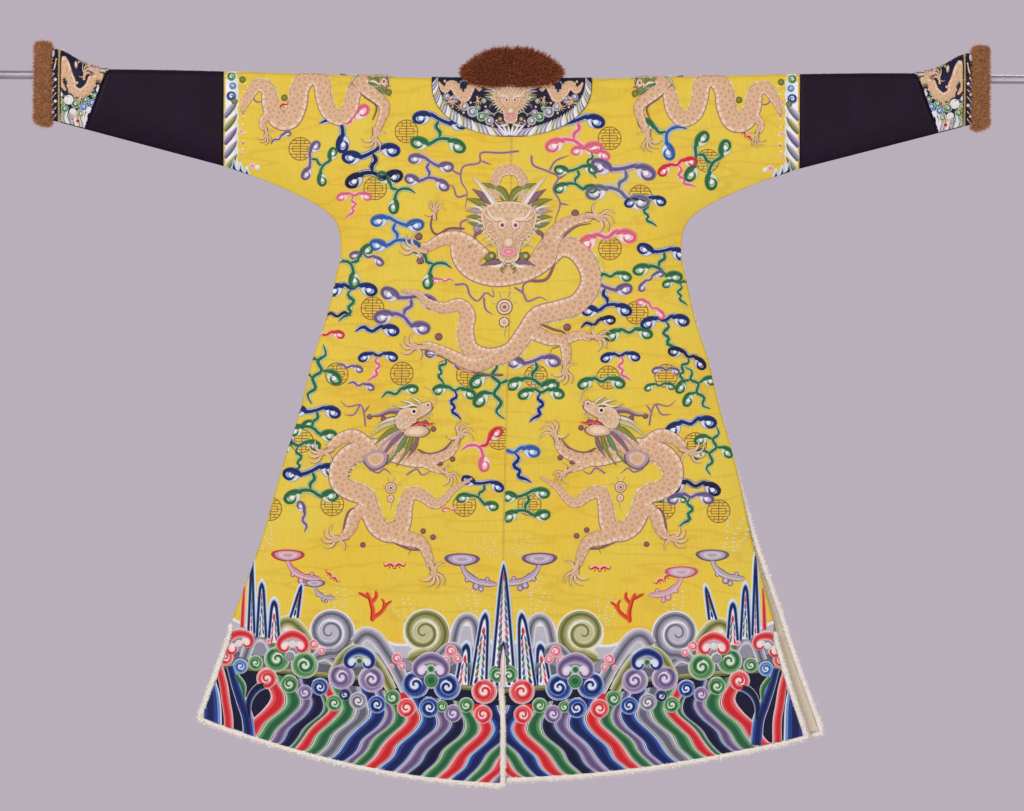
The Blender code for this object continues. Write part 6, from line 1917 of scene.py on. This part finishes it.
def collar_work(work):
    """The neckband's surf rim and its three dragons, in cells from the shoulder line."""
    chart = work.placed(0, COLLAR_CHART, size=CELL)
    for n, angle in enumerate(np.linspace(2, 178, 53)):
        c, s = math.cos(math.radians(angle)), math.sin(math.radians(angle)) ** 0.9
        rim = np.array([80.5 * c, -6 - 52.5 * s])
        inward = -rim / np.linalg.norm(rim)
        slant = np.array([-inward[1], inward[0]]) * (-1 if c > 0 else 1)
        family = "plum" if abs(c) < 0.12 else ("grey", "olive", "white", "grey")[n % 4]
        chart.stroke([rim, rim + inward * 3 + slant * 2.5, rim + inward * 6 + slant * 6,
                      rim + inward * 8 + slant * 10],
                     [4.4, 3.6, 2.6, 0.6], stepped(family, (0.2, 0.25, 0.2, 0.15, 0.2), SHORT_STEPS), 2,
                     0.0006, step=0.004)
    dragon_face(chart.placed(-1, -21, size=0.62), 10)
    for half in chart.halves(-1):
        scaled_body(half, [
            (-72, -4), (-66, -12), (-59, -6), (-53, -14), (-46, -20), (-41, -12), (-36, -5), (-30, -12),
        ], [2, 6, 8, 9, 9, 8.5, 7, 4], 6, step=0.0030, columns=10)
        profile_head(half.placed(-60, -22, 200, 0.30, flip=True), 10)
        claw(half, -50, -27, 250, 0.4, 10)
        claw(half, -33, -22, 280, 0.36, 10)
        for x, y, r, name in (
            (-38, -33, 5.4, "grey"), (-29, -38, 4.8, "green"), (-46, -28, 4.2, "grey"),
            (-21, -42, 4.4, "grey"), (-33, -29, 2.8, "green"), (-24, -34, 3.4, "grey"),
            (-56, -20, 3.8, "blue"), (-64, -18, 3.4, "grey"), (-27, -22, 2.6, "olive"),
            (-68, -10, 2.6, "green"),
        ):
            curl_head(half, x, y, r, name, 8, 1, start=90)
        for x, y in (
            (-18, -47), (-25, -28), (-40, -24), (-52, -6), (-66, -3), (-58, -28), (-47, -34), (-14, -42),
        ):
            bead(half, x, y, 1.4)
        for turn, x in ((62, -10), (40, -6), (16, -2)):
            half.stroke([(x * 0.4, -57), (x, -50), (x * 1.6, -43)], [2.6, 2.4, 0.6],
                        [(floss("plum", EDGE), 0.4), (floss("white", EDGE), 0.6)], 6, 0.0006, step=0.004)
        cloud(half, "bar", -20, -36, 9, "green", 8)
        cloud(half, "bar", -47, -3, 8, "blue", 8)


def collar_limits(x, v):
    v = np.clip(v, BAND_BACK + 0.0018, rod_height(x) + RIDGE_WAY)
    inner = np.where(v > NECK_BACK - 0.001, NECK_HALF + 0.001, 0.0)
    outer = np.maximum(band_curve(v, BAND_BACK) - BAND_CLEAR, inner)
    return np.where(x < 0, -1, 1) * np.clip(np.abs(x), inner, outer), v


collar_stitched = [lay("collar_embroidery", drawn(collar_work), -1, 0, collar_limits, raised=BAND_FLOSS)]

# ---------------------------------------------------------------- front embroidery
# The front is worked as the back is: a great dragon on the breast across the closing, and a
# walking dragon and half of the sea on each panel. The work stops short of the neckband and
# the lapel, and on the underlap only what shows above the overlap is worked.
LAPEL_CLEAR, UNDERLAP_CLEAR, SHOULDER_CLEAR, NECKBAND_CLEAR = 0.0015, 0.012, 0.004, 0.001
LAPEL_MOTIFS, MOTIF_LOOK = (0.012, 0.045, 0.0125), 0.004  # first, left at the end, apart
NOWHERE = 10.0  # an edge that leaves no cloth, so that the stitching there is dropped
lap_rows = np.linspace(LAP_EDGE[-1][0], LAP_EDGE[0][0], 60)
lap_outer = np.array([lap_edge(v) for v in lap_rows])
lap_slope = np.gradient(lap_outer, lap_rows)
lapel_width = np.minimum(LAPEL_WIDTH * np.hypot(1, lap_slope), lap_outer - SEAM_GAP * 2)
neck_rows = np.linspace(BAND_FRONT, 0, 60)
neck_inner = np.array([neck_edge(v, 1, -1) if v > NECK_FRONT else 0.0 for v in neck_rows])


def front_limits(side, lap=False):
    """What the bands and the work over the shoulders leave for stitching on the front."""
    panel = panel_limits(1, side)

    def limits(x, v):
        x, v = panel(x, v)
        v = np.minimum(v, rod_height(x) - SHOULDER_CLEAR)
        if side < 0:
            beside = -band_curve(v, BAND_FRONT) - NECKBAND_CLEAR
            return np.minimum(x, np.where(v > BAND_FRONT, beside, NOWHERE)), v
        if lap:
            reach = np.interp(v, lap_rows, lap_outer - lapel_width - LAPEL_CLEAR, left=NOWHERE, right=-NOWHERE)
            return np.minimum(x, reach), v
        start = np.interp(v, lap_rows, lap_outer + UNDERLAP_CLEAR, left=NOWHERE,
                          right=BAND_HALF + UNDERLAP_CLEAR)
        return np.maximum(x, start), v

    return limits


def front_band_work(chart):
    """Surf, curls and a small coiled dragon along the neckband's front, in cells."""
    for n, angle in enumerate(np.linspace(4, 84, 18)):
        c, s = math.cos(math.radians(angle)), math.sin(math.radians(angle)) ** 0.9
        rim = np.array([-78.5 * c, -62 * s])
        inward = -rim / np.linalg.norm(rim)
        slant = np.array([inward[1], -inward[0]])
        family = ("grey", "olive", "white", "grey")[n % 4]
        chart.stroke([rim, rim + inward * 5 + slant * 1.5, rim + inward * 10 + slant * 5], [5.6, 5.4, 0.6],
                     stepped(family, (0.3, 0.25, 0.2, 0.25), LEAN_STEPS), 2, 0.0006, step=0.004)
    middle = [(-56 * math.cos(t) * (1 + 0.06 * (-1) ** n), -45 * math.sin(t) * (1 + 0.06 * (-1) ** n))
              for n, t in enumerate(np.radians(np.linspace(12, 70, 8)))]
    scaled_body(chart, middle, [2, 6, 8, 9, 9, 8.5, 7, 4], 6, step=0.0030, columns=10)
    for x, y, radius, family in (
        (-66, -18, 3.4, "white"), (-58, -36, 3.6, "blue"), (-44, -48, 3.6, "white"),
        (-30, -56, 3.8, "green"), (-14, -56, 4.2, "white"), (-46, -24, 2.8, "green"),
        (-30, -40, 3.0, "white"), (-10, -46, 3.2, "blue"),
    ):
        curl_head(chart, x, y, radius, family, 8, 1, start=90)


def right_band_work(chart):
    """A few curls and beads on the neckband's short right front, in cells."""
    for x, y, radius, family in (
        (75, -3, 3.0, "grey"), (69, -9, 3.4, "green"), (62, -13, 3.4, "grey"), (54, -16.5, 3.2, "blue"),
        (46, -18.5, 3.0, "grey"), (63, -5, 3.0, "blue"), (54, -9, 2.6, "green"),
    ):
        curl_head(chart, x, y, radius, family, 8, -1, start=90)
    for x, y in ((70, -2.5), (58, -8), (48, -13), (57, -3.5), (49, -7)):
        bead(chart, x, y, 1.5)


def front_band_limits(side, low, foot):
    """What the neckband leaves on one side of the front, down to a foot above its lowest point."""

    def limits(x, v):
        v = np.clip(v, low + foot, -0.0005)
        inner = np.maximum(np.interp(v, neck_rows, neck_inner), SEAM_GAP) + BAND_CLEAR
        return side * np.clip(side * x, inner, np.maximum(band_curve(v, low) - BAND_CLEAR, inner)), v

    return limits


def lapel_work(work):
    """Waves, curls and small clouds that follow the lapel from the neck to the arm."""
    middle = lap_outer - lapel_width / 2
    run = np.concatenate([[0], np.cumsum(np.hypot(np.diff(middle), np.diff(lap_rows)))])
    first, last, apart = LAPEL_MOTIFS
    for n, place in enumerate(np.arange(first, run[-1] - last, apart)):
        x, v = np.interp(place, run, middle), np.interp(place, run, lap_rows)
        next_x, next_v = (np.interp(place + MOTIF_LOOK, run, line) for line in (middle, lap_rows))
        chart = work.placed(x - float(centre_x(v)), v, math.degrees(math.atan2(next_v - v, next_x - x)), CELL)
        family = ("white", "grey", "olive")[n % 3]
        for k in range(2):
            chart.stroke([(3 * k - 2, -8.6), (3 * k - 1, -5.6), (3 * k + 1.6, -3.0)], [3.0, 2.8, 0.5],
                         stepped(family, (0.3, 0.25, 0.2, 0.25), LEAN_STEPS), 2, 0.0006, step=0.004)
        if n % 3 == 1:
            cloud(chart, "bar", 0, 2.4, 8, "green" if n % 2 else "blue", 20)
        else:
            curl_head(chart, 0, 1.2, 3.4, ("white", "blue", "green", "plum")[n % 4], 8,
                      1 if n % 2 else -1, start=90)
            bead(chart, -3.4, 6.2, 1.4)
    winding = middle + 0.006 * np.sin(run * 130)
    path = [(x - float(centre_x(v)), v) for x, v in zip(winding[6:-4:6], lap_rows[6:-4:6])]
    scaled_body(work, path, [0.004, 0.011, 0.012, 0.012, 0.010, 0.006, 0.002], 5, step=0.0032, columns=9)


def lapel_limits(x, v):
    v = np.clip(v, lap_rows[0] + 0.002, lap_rows[-1] - 0.002)
    outer = np.interp(v, lap_rows, lap_outer) - BAND_CLEAR
    return np.clip(x, outer - np.interp(v, lap_rows, lapel_width) + 2 * BAND_CLEAR, outer), v


for key, side, lap in (("left", -1, False), ("overlap", 1, True)):
    pieces = stitched.setdefault(key, [])
    pieces.append(lay(f"sea_band_front_{key}", sea_work(side), 1, side, panel_limits(1, side), lap=lap))
    limits = front_limits(side, lap)
    pieces.append(lay(f"clouds_front_{key}", ground_work(-side, flip=True), 1, side, limits, lap=lap,
                      reach=STITCH_REACH))
    work = Needlework()
    walking_dragon(work.placed(0.2205 * side, -0.8270, size=CELL, flip=side > 0))
    if side < 0:
        shoulder_dragon(work.placed(-0.404, -0.020, size=CELL))
    pieces.append(lay(f"dragons_front_{key}", work, 1, side, limits, lap=lap, reach=STITCH_REACH))
stitched["left"].append(lay("centre_peak_front", drawn(peak_at_centre), 1, lap=True))
great_dragon = drawn(forward_dragon, -0.0085, -0.3620, size=CELL)
stitched["left"].append(lay("great_dragon_front", great_dragon, 1, lap=True))

work = ground_work(-1, flip=True)
shoulder_dragon(work.placed(0.404, -0.020, size=CELL, flip=True))
stitched["right"].append(lay("underlap_embroidery", work, 1, 1, front_limits(1), reach=STITCH_REACH))

limits = front_band_limits(-1, BAND_FRONT, 0.003)
collar_stitched.append(lay("front_band_embroidery", drawn(front_band_work, size=CELL), 1, -1, limits,
                           raised=BAND_FLOSS))
limits = front_band_limits(1, BAND_RIGHT_FRONT, 0.002)
collar_stitched.append(lay("right_band_embroidery", drawn(right_band_work, size=CELL), 1, 1, limits,
                           raised=BAND_FLOSS, reach=STITCH_REACH))
lapel_stitched = [lay("lapel_embroidery", drawn(lapel_work), 1, 1, lapel_limits, lap=True,
                      raised=BAND_LIFT + STITCH_CLEAR)]
for suffix, side in SIDES:
    work = drawn(sleeve_end, flip=side > 0)
    stitched[suffix].append(lay(f"sleeve_end_surf_front_{suffix}", work, 1, side, front_limits(side)))

# ---------------------------------------------------------------- cut of the cloth
# What each length of silk measured on the cutting table, before it was sewn and hung on the
# rod: width and length of its rectangle, and the area of the shape cut from it.
SLEEVE_CUT = (
    # lengths, width round the arm, length, area
    (sleeves, 0.40, 0.285, 0.090), (cuffs, 0.32, 0.105, 0.022), (cuff_bands, 0.325, 0.0142, None),
)
for number, (lengths, width, length, area) in enumerate(SLEEVE_CUT):
    for suffix, cloth in lengths.items():
        on_it = cuff_stitched[suffix][number - 1] if number else []

# ---------------------------------------------------------------- fur at the cuffs and collar
# Brown fur, sewn as a thick ring round each cuff's open end and as an upright two-part collar
# behind the neck: a soft pelt with separate tapering hairs over it.
fur_hair, start = new_finish("fur_hair", Roughness=0.62, Specular_IOR_Level=0.25, Sheen_Weight=0.12)
feed(fur_hair, Base_Color=start.node("ShaderNodeAttribute", {"attribute_name": "thread"}))
pelt_finishes = {}
for name, dark, light in (("cuff_pelt", (0.200, 0.080, 0.028), (0.460, 0.210, 0.085)),
                          ("collar_pelt", (0.085, 0.016, 0.006), (0.300, 0.075, 0.018)),
                          ("cream_pelt", (0.92, 0.88, 0.74), (0.98, 0.95, 0.84))):
    pelt, start = new_finish(name, Roughness=0.85, Specular_IOR_Level=0.2)
    clumps = start.noise(260, 3.0).ranged(0.3, 0.7)
    feed(pelt, Base_Color=clumps.mixed(dark, light), Normal=start.bump(clumps, 0.0025, 0.8))
    pelt_finishes[name] = pelt


def vertex_rows(mesh):
    """The places and the normals of a mesh's points."""
    found = []
    for key in ("co", "normal"):
        values = np.empty(len(mesh.vertices) * 3)
        mesh.vertices.foreach_get(key, values)
        found.append(values.reshape(-1, 3))
    return found


def pelt_over(node, name, finish, levels=2, plump=0.0):
    """The rounded pelt under the hairs, smoothed and made plumper from the solid that it replaces."""
    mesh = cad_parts[node].data.copy()
    mesh.name = name
    cover(mesh, finish)
    joined = bmesh.new()
    joined.from_mesh(mesh)
    bmesh.ops.remove_doubles(joined, verts=joined.verts, dist=0.00002)
    joined.to_mesh(mesh)
    joined.free()
    piece = bpy.data.objects.new(name, mesh)
    bpy.context.scene.collection.objects.link(piece)
    smooth = piece.modifiers.new("smooth", "SUBSURF")
    smooth.levels = smooth.render_levels = levels
    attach(piece, "root")
    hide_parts(node)
    bpy.context.view_layer.update()
    rounded = bpy.data.meshes.new_from_object(piece.evaluated_get(bpy.context.evaluated_depsgraph_get()))
    piece.modifiers.clear()
    piece.data = rounded
    rounded.shade_smooth()
    places, normals = vertex_rows(rounded)
    rounded.vertices.foreach_set("co", (places + plump * normals).ravel())
    rounded.update()
    return piece


FUR_DEPTH = (-0.0425, 0.0470)  # hairs are brushed flat beyond these depths
HAIR_LENGTHS, HAIR_WIDTHS, HAIR_SHADES = (0.6, 1.15), (0.7, 1.3), (0.65, 1.25)
HAIR_KNEE, HAIR_TAPER, HAIR_BEND, HAIR_FALL = 0.55, 0.8, 0.16, -0.10
HAIR_POINTS = [0, 0, 1, 1, 2]  # two at the root, two at the middle and the tip


def hairs_on(piece, name, count, length, width, lean, tones, seed, wild=0.35, sink=0.001):
    """Tapering hairs rooted all over a pelt, as one mesh.

    lean(places) adds a direction to each hair; tones are two sets of colours, each at root, middle
    and tip, between which the hairs are mixed.
    """
    random = np.random.default_rng(seed)
    mesh = piece.data
    mesh.calc_loop_triangles()
    corners = np.empty(len(mesh.loop_triangles) * 3, int)
    mesh.loop_triangles.foreach_get("vertices", corners)
    corners = corners.reshape(-1, 3)
    places, normals = vertex_rows(mesh)
    a, b, c = places[corners[:, 0]], places[corners[:, 1]], places[corners[:, 2]]
    area = np.linalg.norm(np.cross(b - a, c - a), axis=1)
    chosen = corners[random.choice(len(area), count, p=area / area.sum())]
    first, second = random.random((2, count))
    over = first + second > 1
    first, second = np.where(over, 1 - first, first), np.where(over, 1 - second, second)
    weights = np.stack([1 - first - second, first, second], axis=-1)[..., None]
    root = (places[chosen] * weights).sum(axis=1)
    normal = (normals[chosen] * weights).sum(axis=1)
    toward = normal + lean(root) + random.normal(0, wild, (count, 3))
    toward /= np.linalg.norm(toward, axis=1)[:, None]
    long = length * random.uniform(*HAIR_LENGTHS, count)[:, None]
    sideways = np.cross(toward, random.normal(0, 1, (count, 3)))
    sideways /= np.linalg.norm(sideways, axis=1)[:, None]
    root = root - normal * sink
    bend = random.normal(0, HAIR_BEND, (count, 3)) + np.array([0, 0, HAIR_FALL])
    middle = root + toward * long * HAIR_KNEE
    tip = root + (toward + bend) * long
    wide = width * random.uniform(*HAIR_WIDTHS, count)[:, None] / 2
    points = np.stack([root - sideways * wide, root + sideways * wide, middle + sideways * wide * HAIR_TAPER,
                       middle - sideways * wide * HAIR_TAPER, tip], axis=1).reshape(-1, 3)
    points[:, 1] = np.clip(points[:, 1], *FUR_DEPTH)
    first_point = np.arange(count)[:, None] * len(HAIR_POINTS)
    faces = (first_point + [0, 1, 2, 3]).tolist() + (first_point + [3, 2, 4]).tolist()
    grown = bpy.data.meshes.new(name)
    grown.from_pydata(points.tolist(), [], faces)
    grown.materials.append(fur_hair)
    grown.shade_smooth()
    shade = random.uniform(*HAIR_SHADES, count)[:, None, None]
    mix = random.random(count)[:, None, None] ** 1.5
    first_tone, second_tone = np.array(tones)[:, HAIR_POINTS]
    colours = np.ones((count, len(HAIR_POINTS), 4))
    colours[..., :3] = (first_tone * (1 - mix) + second_tone * mix) * shade
    grown.color_attributes.new("thread", "FLOAT_COLOR", "POINT").data.foreach_set("color", colours.ravel())
    hairs = bpy.data.objects.new(name, grown)
    bpy.context.scene.collection.objects.link(hairs)
    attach(hairs, "root")
    return hairs


CUFF_HAIR = (((0.400, 0.170, 0.062), (0.680, 0.330, 0.140), (0.780, 0.450, 0.240)),
             ((0.160, 0.062, 0.024), (0.360, 0.150, 0.060), (0.480, 0.230, 0.110)))
COLLAR_HAIR = (((0.180, 0.030, 0.008), (0.480, 0.115, 0.024), (0.640, 0.210, 0.060)),
               ((0.055, 0.008, 0.003), (0.150, 0.022, 0.007), (0.240, 0.042, 0.014)))
for suffix, side in SIDES:
    pelt = pelt_over(f"cuff_fur_{suffix}", f"cuff_pelt_{suffix}", pelt_finishes["cuff_pelt"])
    hairs_on(pelt, f"cuff_hairs_{suffix}", 8500, 0.0085, 0.0009,
             lambda at, side=side: np.array([0.35 * side, 0, -0.15]), CUFF_HAIR, 11 + side)
    pelt = pelt_over(f"collar_fur_{suffix}", f"collar_pelt_{suffix}",
                     pelt_finishes["collar_pelt"])
    hairs_on(pelt, f"collar_hairs_{suffix}", 8000, 0.0130, 0.0010,
             lambda at, side=side: np.stack([0.4 * side + at[:, 0] * 2, at[:, 0] * 0, at[:, 0] * 0 + 0.35], -1),
             COLLAR_HAIR, 21 + side)

# ---------------------------------------------------------------- cream fur edging
# A thin roll of cream lambskin along the hem, the vents and the overlap's free edge, its
# short curls showing as a soft uneven edge.
CREAM_HAIR = (((0.97, 0.93, 0.80), (1.0, 0.97, 0.86), (1.0, 0.99, 0.92)),
              ((0.92, 0.87, 0.73), (0.97, 0.93, 0.82), (1.0, 0.97, 0.89)))
for n, (node, count) in enumerate((
    ("trim_back_left", 6000), ("trim_back_right", 4900), ("trim_front_left", 4200), ("trim_overlap", 5600),
)):
    roll = pelt_over(node, f"{node}_pelt", pelt_finishes["cream_pelt"], 1, 0.0021)
    hairs_on(roll, f"{node}_hairs", count, 0.0042, 0.0013, lambda at: np.array([0, 0, -0.1]), CREAM_HAIR,
             31 + n, 0.28, 0.0006)

# ---------------------------------------------------------------- hanging rod
# A plain drawn steel tube, satin-bright and faintly scored along its length.
rod_steel, start = new_finish("rod_steel", Metallic=1.0)
scored = start.noise(90, 3.0, 0.6, (0.02, 1, 1)).ranged(0.3, 0.7)
dull = start.noise(9, 3.0).ranged(0.4, 0.7)
feed(rod_steel, Base_Color=dull.mixed((0.52, 0.52, 0.54), (0.40, 0.40, 0.43)),
     Roughness=scored.ranged(0, 1, 0.24, 0.40), Normal=start.bump(scored, 0.0002, 0.3))
cover(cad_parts["rod"].data, rod_steel)

# ---------------------------------------------------------------- buttons and loops
# Five cast brass ball buttons, each at the end of a bound loop of dark silk.
button_brass, start = new_finish("button_brass", Metallic=1.0)
worn = start.noise(500, 3.0).ranged(0.4, 0.65)
feed(button_brass, Base_Color=worn.mixed((0.78, 0.53, 0.20), (0.50, 0.31, 0.10)),
     Roughness=worn.ranged(0, 1, 0.22, 0.42), Normal=start.bump(worn, 0.0002, 0.3))
for number in range(1, 6):
    cover(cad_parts[f"button_{number}"].data, button_brass)
    cover(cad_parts[f"button_loop_{number}"].data, dark_satin)
